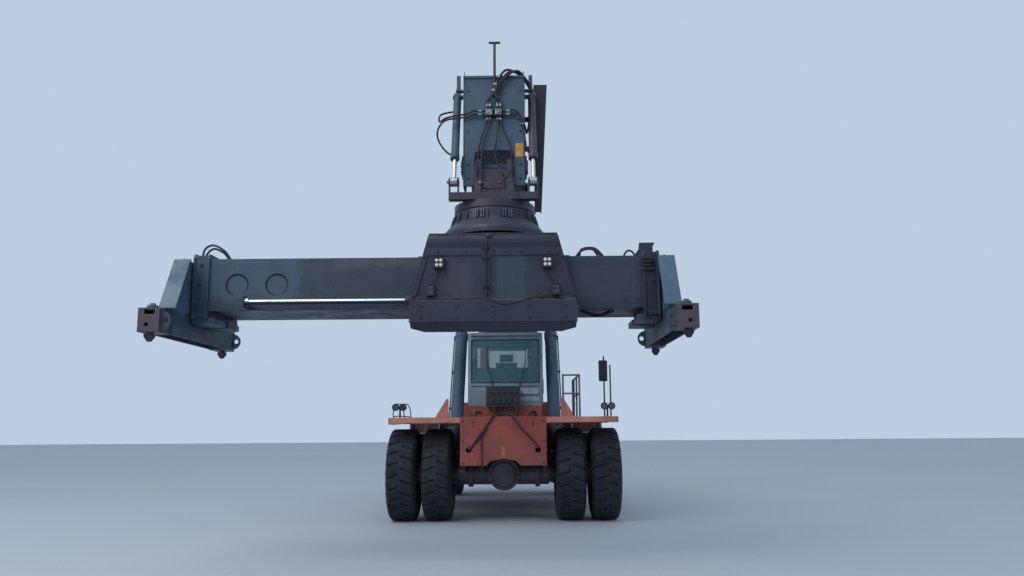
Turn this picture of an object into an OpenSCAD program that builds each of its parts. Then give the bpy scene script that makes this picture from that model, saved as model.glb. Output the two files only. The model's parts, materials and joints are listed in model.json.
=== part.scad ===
// Reach stacker: four-wheel container handler with a telescopic boom and a telescopic spreader.
// Lengths are millimetres. The machine is drawn with its front facing -Y, X to the viewer's right
// and Z up, first about the point on the ground under the front axle. in_frame() then moves it so
// that the origin is the bottom centre of the whole part's box.

/* [Wheels] */
// Outside diameter of every tyre
tyre_d = 1615; // [1560:5:1640]
// Width of one tyre
tyre_w = 530; // [500:5:560]
// Diameter of the bead seat
rim_d = 636; // [600:2:680]
// Spacing of the two tyres of a twin
twin_spacing = 620; // [590:5:660]
// Middle to middle of the two twins
front_track = 2980; // [2940:10:3060]
// Middle to middle of the two steered tyres
rear_track = 2800; // [2760:10:2880]
// Distance of the steering pivots from the steered tyre's middle
pin_offset = 300; // [285:5:330]
// Front axle to rear axle
wheelbase = 6000; // [5900:10:6200]

/* [Frame] */
// Half width of the box over the front axle
nose_half = 750; // [730:5:770]
// Height of the top of that box
nose_top = 1820; // [1800:5:1900]
// Height of the bottom of that box
nose_low = 980; // [960:5:1000]
// How far the front plate stands before the front axle
nose_reach = 800; // [780:5:860]
// Height of the rear deck
deck_z = 1660; // [1650:5:1700]
// Back face of the counterweight behind the rear axle
tail_reach = 1500; // [1400:10:1700]

/* [Boom] */
// Height of the boom's rear pin
pivot_z = 4050; // [4020:5:4100]
// Distance of the boom's rear pin behind the rear axle
pivot_back = 100; // [60:5:140]
// Rise of the boom as stored
boom_angle = 7; // [6:0.5:8]
// Width of the outer boom
boom_w = 940; // [920:5:950]
// Height of the outer boom
boom_h = 1000; // [960:5:1010]
// Length of the outer boom ahead of its pin
boom_len = 8250; // [8000:10:8270]
// Plate thickness of both booms
boom_wall = 18; // [12:1:24]
// Width of the inner boom
inner_w = 720; // [700:5:730]
// Height of the inner boom
inner_h = 810; // [790:5:820]
// Distance from the boom's rear pin to the tilt pin, along the boom
tip_d = 11512; // [11450:2:11600]
// Depth of the tilt pin under the boom's line
tip_n = 607; // [600:1:620]

/* [Lift cylinders] */
// Distance of each lift cylinder from the middle
lift_x = 980; // [975:1:1000]
// Diameter of the barrel
lift_d = 260; // [240:2:270]
// Diameter of the rod
lift_rod_d = 150; // [130:2:170]
// Foot pin behind the front axle
foot_y = 950; // [945:1:980]
// Foot pin height
foot_z = 1050; // [1030:1:1070]
// Head pin ahead of the boom's rear pin
head_d = 2835; // [2800:5:2870]
// Head pin under the boom's line
head_n = 298; // [280:1:310]

/* [Cab] */
// Half width of the cab
cab_half = 770; // [750:5:775]
// Front of the cab behind the front axle
cab_front = 1700; // [1680:5:1740]
// Length of the cab
cab_len = 1880; // [1860:5:1900]
// Underside of the cab's floor
cab_low = 2060; // [2050:5:2080]
// Top of the cab's roof
cab_top = 3560; // [3500:5:3580]
// Thickness of the cab's walls
cab_wall = 45; // [35:1:55]
// How far the cab slides back
cab_travel = 950; // [800:10:960]

/* [Spreader] */
// Twistlock to twistlock along the spreader
lock_len = 5853; // [5840:1:5860]
// Twistlock to twistlock across the spreader
lock_w = 2259; // [2250:1:2270]
// From a twistlock's axis to the outer end of its corner box
box_end = 102.5; // [90:0.5:120]
// From a twistlock's axis to the outer side of its corner box
box_side = 89.5; // [80:0.5:100]
// Side shift as stored, to the viewer's left
shift_x = 800; // [700:5:850]
// From a twistlock's axis to the end of the main beam
beam_gap = 180; // [150:5:200]
// Length of the collar at each end of the main beam
collar_len = 190; // [160:5:220]
// Depth of the main beam from front to back
beam_w = 890; // [870:5:900]
// Height of the main beam
beam_h = 620; // [600:5:640]
// Half depth of the trolley from front to back
trolley_half = 735; // [720:5:745]

/* [Hidden] */
$fn = 64;
fit = 0.5;
run = 6;
tyre_r = tyre_d / 2;
rim_r = rim_d / 2;
pivot_y = wheelbase + pivot_back;
cs = cos(boom_angle);
sn = sin(boom_angle);
function boom_y(d, n) = pivot_y - d * cs + n * sn;
function boom_z(d, n) = pivot_z + d * sn + n * cs;
tip_y = boom_y(tip_d, -tip_n);
tip_z = boom_z(tip_d, -tip_n);
head_y = boom_y(head_d, -head_n);
head_z = boom_z(head_d, -head_n);
lean = atan2(head_y - foot_y, head_z - foot_z);
lift_len = norm([head_y - foot_y, head_z - foot_z]);
beam_len = lock_len - 2 * beam_gap;
spread_w = lock_w + 2 * box_side;
front_y = tip_y - spread_w / 2;
back_y = wheelbase + tail_reach;
inner_low = -320;
inner_tail = 2960;
navy = [0.15, 0.17, 0.26];
teal = [0.24, 0.33, 0.39];
orange = [0.66, 0.28, 0.25];
rust = [0.33, 0.25, 0.27];
grey = [0.49, 0.55, 0.59];
black = [0.07, 0.07, 0.08];
steel = [0.75, 0.76, 0.78];

// Box between two corners
module bx(x0, x1, y0, y1, z0, z1) {
  translate([min(x0, x1), min(y0, y1), min(z0, z1)])
    cube([abs(x1 - x0), abs(y1 - y0), abs(z1 - z0)]);
}

// Round bar along X
module rx(r, x0, x1, y, z) {
  translate([x0, y, z]) rotate([0, 90, 0]) cylinder(r = r, h = x1 - x0);
}

// Round bar along Y
module ry(r, y0, y1, x, z) {
  translate([x, y0, z]) rotate([-90, 0, 0]) cylinder(r = r, h = y1 - y0);
}

// Round bar along Z
module rz(r, z0, z1, x, y) {
  translate([x, y, z0]) cylinder(r = r, h = z1 - z0);
}

// Plate with its outline in Y and Z
module side(pts, x0, x1) {
  translate([x0, 0, 0]) rotate([90, 0, 90]) linear_extrude(x1 - x0) polygon(pts);
}

// Plate with its outline in X and Z
module front(pts, y0, y1) {
  translate([0, y1, 0]) rotate([90, 0, 0]) linear_extrude(y1 - y0) polygon(pts);
}

// Outline of a box with round corners
module round_square(x0, x1, y0, y1, r) {
  for (x = [x0 + r, x1 - r]) for (y = [y0 + r, y1 - r]) translate([x, y]) circle(r);
  translate([x0 + r, y0]) square([x1 - x0 - 2 * r, y1 - y0]);
  translate([x0, y0 + r]) square([x1 - x0, y1 - y0 - 2 * r]);
}

// Box whose long edges along Y are round
module tank(x0, x1, y0, y1, z0, z1, r) {
  translate([0, y1, 0]) rotate([90, 0, 0]) linear_extrude(y1 - y0) round_square(x0, x1, z0, z1, r);
}

// The children and their mirror image across the middle
module both() {
  children();
  mirror([1, 0, 0]) children();
}

// The children on the left or on the right
module hand(left) {
  mirror([left ? 1 : 0, 0, 0]) children();
}

// Moving half of a hinge: axis along Z, the panel's face at x = -r and the panel towards -Y
module hinge_moving(r, len) {
  difference() {
    union() {
      rz(r, 0.3, len - 0.3, 0, 0);
      bx(-r - 1, -r + 8, -50, 0, 0.3, len - 0.3);
    }
    rz(r / 2 + 0.3, -1, len + 1, 0, 0);
  }
}

// Fixed half of that hinge, with its pin
module hinge_fixed(r, len) {
  rz(r / 2, -40, len + 40, 0, 0);
  for (z = [-40, len]) {
    rz(r, z, z + 40, 0, 0);
    bx(-r - 1, -r + 8, 0, 50, z, z + 40);
  }
}

module in_frame() {
  translate([shift_x, -(front_y + back_y) / 2, 0]) children();
}

// The boom's own frame: -Y along the boom, Z across it, from the rear pin
module in_boom() {
  translate([0, pivot_y, pivot_z]) rotate([-boom_angle, 0, 0]) children();
}

// The frame of the tilt pin
module at_tip() {
  translate([0, tip_y, tip_z]) children();
}

// The frame of the spreader's middle under the tilt pin
module at_spreader() {
  translate([-shift_x, tip_y, tip_z]) children();
}

// Frame
rail_in = 280;
rail_out = 380;
box_back = 1350;
bracket_out = lift_x + 220;
tower_in = 500;
tower_out = 700;
pivot_pin_r = 100;
foot_pin_r = 60;

module nose_box() {
  difference() {
    bx(-nose_half, nose_half, -nose_reach, box_back, nose_low, nose_top);
    bx(-nose_half + 30, nose_half - 30, -nose_reach + 30, box_back - 30, nose_low - 1, nose_top - 30);
    bx(-nose_half - 1, nose_half + 1, -200, 200, nose_low - 1, nose_low + 70);
    for (s = [-1, 1]) ry(50, -nose_reach - 1, -nose_reach + 31, s * 600, 1250);
    front([[-300, nose_low - 1], [-220, nose_low + 80], [0, nose_low + 120], [220, nose_low + 80],
      [300, nose_low - 1]], -nose_reach - 1, -nose_reach + 31);
  }
  both() bx(rail_in, rail_out, -nose_reach + 30, box_back - 30, nose_top - 330, nose_top - 30);
}

module foot_bracket() {
  for (x = [nose_half, bracket_out - 70]) difference() {
    side([[830, foot_z - 270], [box_back, foot_z - 270], [box_back, foot_z + 60],
      [foot_y + 150, foot_z + 170], [foot_y - 90, foot_z + 170], [830, foot_z + 60]],
      x, x + 70);
    if (x > nose_half) bx(x - 1, x + 71, 0, 825, 0, 3000);
  }
  bx(nose_half, bracket_out, 830, box_back, foot_z - 270, foot_z - 210);
  bx(nose_half, bracket_out, box_back - 50, box_back, foot_z - 270, foot_z - 40);
  rx(foot_pin_r, nose_half - 20, bracket_out + 20, foot_y, foot_z);
}

tower_front = wheelbase - 550;

module tower() {
  difference() {
    union() {
      side([[tower_front, deck_z], [wheelbase + 1050, deck_z], [pivot_y + 330, pivot_z - 260],
        [pivot_y + 210, pivot_z + 210], [pivot_y - 210, pivot_z + 210],
        [pivot_y - 360, pivot_z - 260]], tower_in, tower_out);
      rx(250, tower_in - 10, tower_out + 20, pivot_y, pivot_z);
    }
    side([[tower_front + 70, deck_z + 30], [wheelbase + 980, deck_z + 30],
      [pivot_y + 270, pivot_z - 330], [pivot_y - 300, pivot_z - 330]], tower_in + 30, tower_out - 30);
  }
}

module frame() color(orange) {
  nose_box();
  both() foot_bracket();
  both() bx(rail_in, rail_out, box_back, wheelbase + 1050, 1060, 1620);
  bx(-nose_half, nose_half, box_back - 30, box_back, 1060, nose_top);
  for (y = [2600, 4200, wheelbase - 250, wheelbase + 1020])
    bx(-rail_out, rail_out, y, y + 30, 1060, 1620);
  bx(-nose_half, nose_half, box_back, wheelbase + 1050, 1620, deck_z);
  bx(-rail_out, rail_out, wheelbase - 250, wheelbase + 250, 1000, 1060);
  both() tower();
  rx(pivot_pin_r, -tower_out - 30, tower_out + 30, pivot_y, pivot_z);
  both() {
    bx(510, 540, cab_front - 30, cab_front + cab_len + cab_travel + 30, deck_z, 1960);
    bx(450, 600, cab_front - 30, cab_front + cab_len + cab_travel + 30, 1960, 2000);
  }
  for (y = [cab_front - 30, cab_front + 1300, cab_front + cab_len + cab_travel])
    bx(-540, 540, y, y + 30, deck_z, 1900);
  difference() {
    bx(-nose_half + 10, nose_half - 10, cab_front - 70, cab_front - 30, deck_z, cab_low - 5);
    for (x = [-560, 0, 560]) ry(90, cab_front - 71, cab_front - 29, x, 1870);
  }
}

// Fenders over the front wheels
fender_back = 1100;
fender_out = 2000;

module front_fenders() color(orange) both() {
  bx(nose_half, fender_out, -nose_reach, fender_back, nose_top - 50, nose_top - 10);
  bx(nose_half, fender_out, -nose_reach, -nose_reach + 20, nose_top - 110, nose_top - 50);
  bx(nose_half, fender_out, fender_back - 20, fender_back, nose_top - 110, nose_top - 50);
  bx(fender_out - 15, fender_out, -nose_reach + 20, fender_back - 20, nose_top - 90, nose_top - 50);
  for (y = [-300, 0, 300]) bx(nose_half, nose_half + 260, y - 10, y + 10, nose_top - 160, nose_top - 50);
  front([[1094, nose_top - 10], [1360, nose_top - 10], [1360, 2190], [1180, 2190]], 930, 950);
  for (x = [1170, 1340]) side([[950, nose_top - 10], [1060, nose_top - 10], [950, 2120]], x, x + 12);
}

// Axles
hub_x = front_track / 2 - twin_spacing / 2 - 160;

module drive_axle() color(orange) {
  rx(190, -nose_half - 60, nose_half + 60, 0, tyre_r);
  both() {
    rx(150, nose_half + 60, hub_x, 0, tyre_r);
    rx(120, hub_x, front_track / 2 + twin_spacing / 2, 0, tyre_r);
    bx(nose_half - 60, nose_half, -180, 180, tyre_r, nose_low + 70);
  }
  ry(280, -300, 300, 0, tyre_r);
  ry(200, -360, -300, 0, tyre_r);
  ry(90, 300, 460, 0, tyre_r);
  both() {
    rx(230, 560, 640, 0, tyre_r);
    for (x = [nose_half + 90 : 22 : hub_x - 30]) rx(176, x, x + 10, 0, tyre_r);
  }
  for (a = [0 : 30 : 359]) translate([0, 0, tyre_r]) rotate([0, a, 0]) ry(16, -330, -300, 240, 0);
}

king_x = rear_track / 2 - pin_offset;

module steer_axle() color(orange) {
  bx(-rail_out, rail_out, wheelbase - 200, wheelbase + 200, 640, 1000);
  both() {
    bx(rail_out - 1, king_x - 150, wheelbase - 130, wheelbase + 130, tyre_r - 230, tyre_r + 170);
    for (z = [tyre_r - 230, tyre_r + 170]) {
      bx(king_x - 151, king_x, wheelbase - 100, wheelbase + 100, z, z + 60);
      rz(110, z, z + 60, king_x, wheelbase);
    }
    bx(king_x - 200, king_x - 150, wheelbase - 100, wheelbase + 100, tyre_r + 169, tyre_r + 230);
    rz(50, tyre_r - 231, tyre_r + 231, king_x, wheelbase);
  }
  rx(80, -420, 420, wheelbase - 290, tyre_r);
  bx(-200, 200, wheelbase - 260, wheelbase - 200, tyre_r - 60, tyre_r + 60);
}

module knuckle() {
  difference() {
    union() {
      rz(105, tyre_r - 164, tyre_r + 164, king_x, wheelbase);
      rx(100, king_x + 60, king_x + 230, wheelbase, tyre_r);
      rx(75, king_x, king_x + pin_offset + 130, wheelbase, tyre_r);
      translate([king_x, wheelbase, tyre_r - 120]) rotate([0, 0, 25]) bx(-30, 30, -250, 0, 0, 50);
    }
    rz(50 + fit, tyre_r - 300, tyre_r + 300, king_x, wheelbase);
  }
}

module knuckle_left() color(orange) hand(true) knuckle();
module knuckle_right() color(orange) hand(false) knuckle();

// Wheels
module tyre(x, y) {
  translate([x, y, tyre_r]) rotate([0, 90, 0]) rotate_extrude($fn = 60) polygon([
    [rim_r, -tyre_w * 0.32], [tyre_r * 0.54, -tyre_w * 0.47], [tyre_r * 0.75, -tyre_w / 2],
    [tyre_r * 0.94, -tyre_w * 0.45], [tyre_r, -tyre_w * 0.37], [tyre_r, tyre_w * 0.37],
    [tyre_r * 0.94, tyre_w * 0.45], [tyre_r * 0.75, tyre_w / 2], [tyre_r * 0.54, tyre_w * 0.47],
    [rim_r, tyre_w * 0.32]]);
}

module rim(x, y, disc) {
  difference() {
    union() {
      rx(rim_r - 0.3, x - tyre_w * 0.36, x + tyre_w * 0.36, y, tyre_r);
      for (s = [-1, 1]) translate([x + s * (tyre_w * 0.36 - 4), 0, 0]) rx(rim_r + 14, -4, 4, y, tyre_r);
    }
    rx(rim_r - 22, x - tyre_w * 0.36 - 1, x + tyre_w * 0.36 + 1, y, tyre_r);
  }
  difference() {
    rx(rim_r - 20, x + disc, x + disc + 28, y, tyre_r);
    rx(60, x + disc - 1, x + disc + 29, y, tyre_r);
  }
}

module twin_tyres() {
  for (s = [-0.5, 0.5]) tyre(front_track / 2 + s * twin_spacing, 0);
}

module twin_rims() {
  in_x = front_track / 2 - twin_spacing / 2;
  out_x = front_track / 2 + twin_spacing / 2;
  difference() {
    union() {
      rim(in_x, 0, 60);
      rim(out_x, 0, 60);
      rx(230, hub_x + run, in_x + 70, 0, tyre_r);
      rx(200, in_x + 60, out_x + 70, 0, tyre_r);
      rx(170, out_x + 80, out_x + 240, 0, tyre_r);
      for (a = [0 : 36 : 359])
        translate([out_x + 80, 0, tyre_r]) rotate([a, 0, 0]) translate([0, 235, 0])
          rotate([0, 90, 0]) cylinder(r = 18, h = 40, $fn = 24);
    }
    rx(120 + fit, hub_x - 100, out_x + run, 0, tyre_r);
  }
}

module single_rim() {
  difference() {
    union() {
      rim(rear_track / 2, wheelbase, 60);
      rx(150, rear_track / 2 - 60, rear_track / 2 + 180, wheelbase, tyre_r);
      for (a = [0 : 36 : 359])
        translate([rear_track / 2 + 80, wheelbase, tyre_r]) rotate([a, 0, 0]) translate([0, 215, 0])
          rotate([0, 90, 0]) cylinder(r = 18, h = 40, $fn = 24);
    }
    rx(75 + fit, rear_track / 2 - 300, rear_track / 2 + 130 + run, wheelbase, tyre_r);
  }
}

module tyres_front_left() color(black) hand(true) twin_tyres();
module tyres_front_right() color(black) hand(false) twin_tyres();
module rims_front_left() color(orange) hand(true) twin_rims();
module rims_front_right() color(orange) hand(false) twin_rims();
module tyre_rear_left() color(black) hand(true) tyre(rear_track / 2, wheelbase);
module tyre_rear_right() color(black) hand(false) tyre(rear_track / 2, wheelbase);
module rim_rear_left() color(orange) hand(true) single_rim();
module rim_rear_right() color(orange) hand(false) single_rim();

// Body work behind
jaw_z = 950;
tow_r = 25;

module counterweight() color(orange) difference() {
  r = 350;
  intersection() {
    side([[wheelbase + 1050, 700], [back_y - 30, 700], [back_y, 730], [back_y, 2150],
      [back_y - 120, 2300], [wheelbase + 1050, 2300]], -1350, 1350);
    union() {
      bx(-1350, 1350, wheelbase + 1050, back_y - r, 600, 2400);
      bx(-1350 + r, 1350 - r, wheelbase + 1050, back_y + 1, 600, 2400);
      for (x = [-1350 + r, 1350 - r]) rz(r, 600, 2400, x, back_y - r);
    }
  }
  bx(-120, 120, back_y - 120, back_y + 1, jaw_z - 60, jaw_z + 60);
  rz(tow_r, 600, jaw_z + 200, 0, back_y - 70);
  for (s = [-1, 1]) bx(s * 620, s * 860, back_y - 30, back_y + 1, 1900, 2040);
  bx(-480, 480, back_y - 15, back_y + 1, 1250, 2050);
}

hood_front = wheelbase - 1380;
hood_top = 3050;

hood_split = wheelbase - 560;
hood_back = wheelbase + 900;
hood_half = tower_in - 15;
door_head = hood_top - 120;

module engine_hood() color(teal) {
  difference() {
    union() {
      bx(-nose_half, nose_half, hood_front, hood_split, deck_z, hood_top);
      bx(-hood_half, hood_half, hood_front + 1, hood_back, deck_z, hood_top - 250);
    }
    bx(-nose_half + 30, nose_half - 30, hood_front + 30, hood_split - 30, deck_z - 1, hood_top - 30);
    bx(-hood_half + 20, hood_half - 20, hood_front + 30, hood_back - 20, deck_z - 1, hood_top - 270);
    bx(-nose_half - 1, nose_half + 1, hood_front + 50, hood_split - 50, deck_z + 60, door_head);
    for (z = [1850 : 110 : hood_top - 370]) bx(-380, 380, hood_back - 21, hood_back + 1, z, z + 55);
  }
  for (x = [-200, 200]) bx(x - 12, x + 12, hood_back - 20, hood_back, deck_z + 100, hood_top - 260);
  rz(110, hood_top - 1, 3260, 610, hood_front + 300);
  rz(130, 3260, 3340, 610, hood_front + 300);
  both() for (y = hood_hinges) at_hood_hinge(y) hinge_fixed(14, 60);
}

hood_hinges = [hood_front + 150, hood_split - 210];

module at_hood_hinge(y) {
  translate([nose_half + 14, y + 60, door_head - 3]) rotate([90, 0, 0]) children();
}

module engine_block() color(grey) {
  bx(-430, 430, hood_front + 80, hood_back - 100, deck_z, 2500);
}

module hood_door() {
  difference() {
    bx(nose_half - 30, nose_half, hood_front + 50 + run, hood_split - 50 - run, deck_z + 60 + run,
      door_head - run);
    for (z = [2150 : 90 : 2650]) for (y = [hood_front + 120, hood_front + 450])
      bx(nose_half - 31, nose_half + 1, y, y + 250, z, z + 35);
  }
  bx(nose_half - 5, nose_half + 18, hood_front + 380, hood_front + 420, 1850, 1990);
  for (y = hood_hinges) at_hood_hinge(y) hinge_moving(14, 60);
}

tank_front = 1800;
tank_back = hood_front + 30;

module side_tanks() color(orange) both() {
  tank(nose_half + 50, 1950, tank_front, tank_back, 620, 1760, 110);
  for (y = [tank_front + 20, tank_front + 900, tank_back - 60])
    tank(nose_half + 40, 1960, y, y + 40, 610, 1759, 115);
  rz(60, 1700, 1759, 1250, tank_back - 290);
  for (y = [tank_front + 300, tank_back - 500]) bx(rail_out, nose_half + 50, y, y + 120, 1100, 1300);
}

module walkways() color(grey) both() {
  difference() {
    bx(nose_half + 50, 1950, tank_front + 100, tank_back - 340, 1760, 1800);
    for (y = [tank_front + 260 : 220 : tank_back - 500]) for (x = [1020, 1290, 1560])
      bx(x, x + 180, y, y + 60, 1780, 1801);
  }
  rz(80, 1800, 1840, 1250, tank_back - 470);
  for (z = [520, 850, 1180, 1510]) bx(1350, 1900, tank_front - 260, tank_front, z, z + 30);
  for (x = [1320, 1900]) bx(x, x + 30, tank_front - 260, tank_front, 520, 1760);
}

module handrails() color(steel) {
  posts = [2000, 2900, 3800, tank_back - 400];
  for (y = posts) rz(20, 1800, 2720, 1530, y);
  rz(20, 1800, 2720, 1190, posts[0]);
  for (z = [2320, 2702]) {
    ry(18, posts[0] - 15, posts[3] + 15, 1530, z);
    rx(18, 1175, 1530, posts[0], z);
  }
}

module mirrors_lamps() color(black) {
  both() {
    rz(16, nose_top - 10, 2020, 1860, -350);
    for (x = [1800, 1930]) ry(60, -430, -340, x, 2000);
    bx(1790, 1940, -345, -325, 1980, 2010);
  }
  both() for (x = [625, 765]) ry(45, back_y - 30, back_y - 5, x + 45, 1970);
  rz(14, nose_top - 10, 2900, 1820, -250);
  bx(1730, 1880, -270, -235, 2450, 2820);
  bx(1920, 1945, -260, -240, nose_top - 10, 2740);
}

module valve_box() color(black) {
  tank(-380, 300, 1400, 1620, 2040, 2450, 30);
  for (x = [-300 : 120 : 180]) {
    bx(x, x + 70, 1370, 1401, 2100, 2200);
    ry(22, 1340, 1401, x + 35, 2330);
  }
  both() bx(200, 240, 1400, 1440, deck_z, 2041);
  both() bx(200, 240, 1580, 1620, deck_z, 2041);
}

module exhaust() color(steel) {
  x = -nose_half - 100;
  y = hood_split + 100;
  difference() {
    union() {
      rz(60, deck_z, 3400, x, y);
      rz(75, 2000, 3000, x, y);
      translate([x, y, 3400]) rotate([-35, 0, 0]) cylinder(r = 60, h = 190);
      translate([x, y, 3400]) sphere(r = 60);
    }
    translate([x, y, 3400]) rotate([-35, 0, 0]) translate([0, 0, 40]) cylinder(r = 52, h = 160);
  }
  bx(-nose_half - 160, -nose_half, y - 60, y + 60, deck_z - 30, deck_z);
}

// Cab
cab_back = cab_front + cab_len;
sill = 2540;
door_front = cab_back - 700;
door_back = cab_back - 60;
door_top = 3350;
door_low = cab_low + 90;
door_hinges = [door_low + 150, door_top - 300];

module at_door_hinge(z) {
  translate([cab_half + 16, door_back - 3, z]) children();
}

module cab_shell() color(teal) {
  w = cab_wall;
  difference() {
    union() {
      translate([0, 0, cab_low]) linear_extrude(cab_top - cab_low)
        round_square(-cab_half, cab_half, cab_front, cab_back, 60);
      bx(-cab_half + 60, cab_half - 60, cab_front - 60, cab_front + 1, cab_top - 60, cab_top);
    }
    bx(-cab_half + w, cab_half - w, cab_front + w, cab_back - w, cab_low + 60, cab_top - w);
    bx(-cab_half + w + 30, cab_half - w - 30, cab_front - 1, cab_front + w + 1, sill, cab_top - 140);
    bx(-cab_half + w + 60, cab_half - w - 60, cab_back - w - 1, cab_back + 1, sill, cab_top - 140);
    for (s = [-1, 1]) {
      bx(s * (cab_half + 1), s * (cab_half - w - 1), cab_front + 120, door_front - 60, sill, door_top);
      bx(s * (cab_half + 1), s * (cab_half - w - 1), door_front, door_back, door_low, door_top);
    }
    bx(-450, 450, cab_front + 500, cab_back - 500, cab_top - w - 1, cab_top + 1);
    for (z = [cab_low + 110 : 30 : cab_low + 280]) bx(330, 700, cab_front - 1, cab_front + 8, z, z + 16);
  }
  for (x = [-400 : 100 : 400]) bx(x - 6, x + 6, cab_front + 480, cab_back - 480, cab_top - 1, cab_top + 18);
  both() for (y = [cab_front + 150, cab_back - 450]) {
    bx(420, 440, y, y + 300, 1920, cab_low);
    bx(440, 480, y, y + 300, 1920, 1950);
    bx(420, 640, y, y + 300, 2000 + fit, cab_low);
    bx(610, 640, y, y + 300, 1920, cab_low);
    bx(570, 610, y, y + 300, 1920, 1950);
  }
  bx(-420, 420, cab_front + 200, cab_front + 300, 2006, cab_low);
  both() for (z = door_hinges) at_door_hinge(z) hinge_fixed(16, 100);
}

module cab_glass() color([0.3, 0.42, 0.45, 0.4]) {
  w = cab_wall;
  bx(-cab_half + w + 30, cab_half - w - 30, cab_front + 15, cab_front + 27, sill, cab_top - 140);
  bx(-cab_half + w + 60, cab_half - w - 60, cab_back - 27, cab_back - 15, sill, cab_top - 140);
  both() bx(cab_half - 27, cab_half - 15, cab_front + 120, door_front - 60, sill, door_top);
  bx(-450, 450, cab_front + 500, cab_back - 500, cab_top - 27, cab_top - 15);
}

module cab_interior() color(black) {
  y = cab_front + 1000;
  bx(-250, 250, y, y + 480, cab_low + 360, cab_low + 480);
  bx(-180, 180, y + 60, y + 400, cab_low + 60, cab_low + 360);
  bx(-250, 250, y + 480, y + 590, cab_low + 400, cab_low + 1150);
  both() bx(270, 360, y, y + 420, cab_low + 60, cab_low + 600);
  bx(-500, 500, cab_front + 60, cab_front + 260, cab_low + 60, cab_low + 420);
  rz(60, cab_low + 60, cab_low + 76, 0, cab_front + 300);
  translate([0, cab_front + 300, cab_low + 72]) rotate([-20, 0, 0]) {
    cylinder(r = 30, h = 640);
    translate([0, 0, 620]) difference() {
      cylinder(r = 210, h = 30);
      translate([0, 0, -1]) cylinder(r = 180, h = 32);
    }
    translate([-190, -20, 620]) cube([380, 40, 25]);
  }
}

module cab_door() {
  g = 6;
  difference() {
    bx(cab_half - cab_wall, cab_half, door_front + g, door_back - g, door_low + g, door_top - g);
    bx(cab_half - cab_wall - 1, cab_half + 1, door_front + 70, door_back - 70, sill, door_top - 70);
    bx(cab_half - 12, cab_half + 1, door_front + 60, door_back - 60, door_low + 60, sill - 60);
  }
  rz(11, sill - 190, sill + 130, cab_half + 34, door_front + 38);
  for (z = [sill - 180, sill + 110])
    bx(cab_half - 1, cab_half + 34, door_front + 30, door_front + 46, z, z + 16);
  for (z = door_hinges) at_door_hinge(z) hinge_moving(16, 100);
}

module door_glass() {
  bx(cab_half - 27, cab_half - 15, door_front + 70, door_back - 70, sill, door_top - 70);
}

module door_left() color(teal) hand(true) cab_door();
module door_right() color(teal) hand(false) cab_door();
module door_glass_left() color([0.3, 0.42, 0.45, 0.4]) hand(true) door_glass();
module door_glass_right() color([0.3, 0.42, 0.45, 0.4]) hand(false) door_glass();
module hood_door_left() color(teal) hand(true) hood_door();
module hood_door_right() color(teal) hand(false) hood_door();

// Boom
module outer_boom() color(teal) in_boom() {
  low = -boom_h / 2 + 100;
  high = boom_h / 2 + 100;
  difference() {
    union() {
      bx(-boom_w / 2, boom_w / 2, -boom_len, 350, low, high);
      rx(200, -boom_w / 2 - 15, boom_w / 2 + 15, 0, 0);
      for (y = [-boom_len, -boom_len + 130])
        bx(-boom_w / 2 - 12, boom_w / 2 + 12, y, y + 30, low - 12, high + 12);
      both() {
        rx(170, boom_w / 2 - 1, lift_x - 130, -head_d, -head_n);
        rx(182, boom_w / 2 - 1, boom_w / 2 + 14, -head_d, -head_n + 20);
        for (y = [-head_d - 190, -head_d + 170])
          side([[y, low], [y + 20, low], [y + 20, 60], [y, 60]], boom_w / 2 - 1, boom_w / 2 + 60);
      }
    }
    bx(-boom_w / 2 + boom_wall, boom_w / 2 - boom_wall, -boom_len - 1, 320, low + boom_wall,
      high - boom_wall);
    rx(pivot_pin_r + fit, -boom_w / 2 - 20, boom_w / 2 + 20, 0, 0);
  }
  pad_y = -boom_len + 20;
  bx(-250, 250, pad_y, pad_y + 350, low + boom_wall, inner_low - fit);
  bx(-250, 250, pad_y, pad_y + 350, inner_low + inner_h + fit, high - boom_wall);
  both() bx(inner_w / 2 + fit, boom_w / 2 - boom_wall, pad_y, pad_y + 350, -150, 300);
}

module hose_track() color(teal) in_boom() {
  high = boom_h / 2 + 100;
  bx(150, 420, -boom_len + 300, -400, high, high + 8);
  for (x = [150, 412]) bx(x, x + 8, -boom_len + 300, -400, high + 8, high + 90);
}

module inner_boom() color(teal) {
  high = inner_low + inner_h;
  in_low = -boom_h / 2 + 100 + boom_wall + fit;
  in_high = boom_h / 2 + 100 - boom_wall - fit;
  in_boom() {
    bx(-250, 250, -inner_tail - 400, -inner_tail - 50, in_low, inner_low);
    bx(-250, 250, -inner_tail - 400, -inner_tail - 50, high, in_high);
    both() bx(inner_w / 2, boom_w / 2 - boom_wall - fit, -inner_tail - 400, -inner_tail - 50, -150, 300);
  }
  difference() {
    in_boom() difference() {
      bx(-inner_w / 2, inner_w / 2, -tip_d - 300, -inner_tail, inner_low, high);
      bx(-inner_w / 2 + boom_wall, inner_w / 2 - boom_wall, -tip_d - 400, -inner_tail + 1,
        inner_low + boom_wall, high - boom_wall);
    }
    bx(-1000, 1000, tip_y - 1000, tip_y - 130, tip_z - 1000, tip_z + 3000);
  }
}

tilt_pin_r = 60;

// Height of the inner boom's top or bottom above the tilt pin, at a distance behind that pin
function skin_z(y, n) = pivot_z + (pivot_y - tip_y - y) * sn / cs + n / cs - tip_z;

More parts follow.
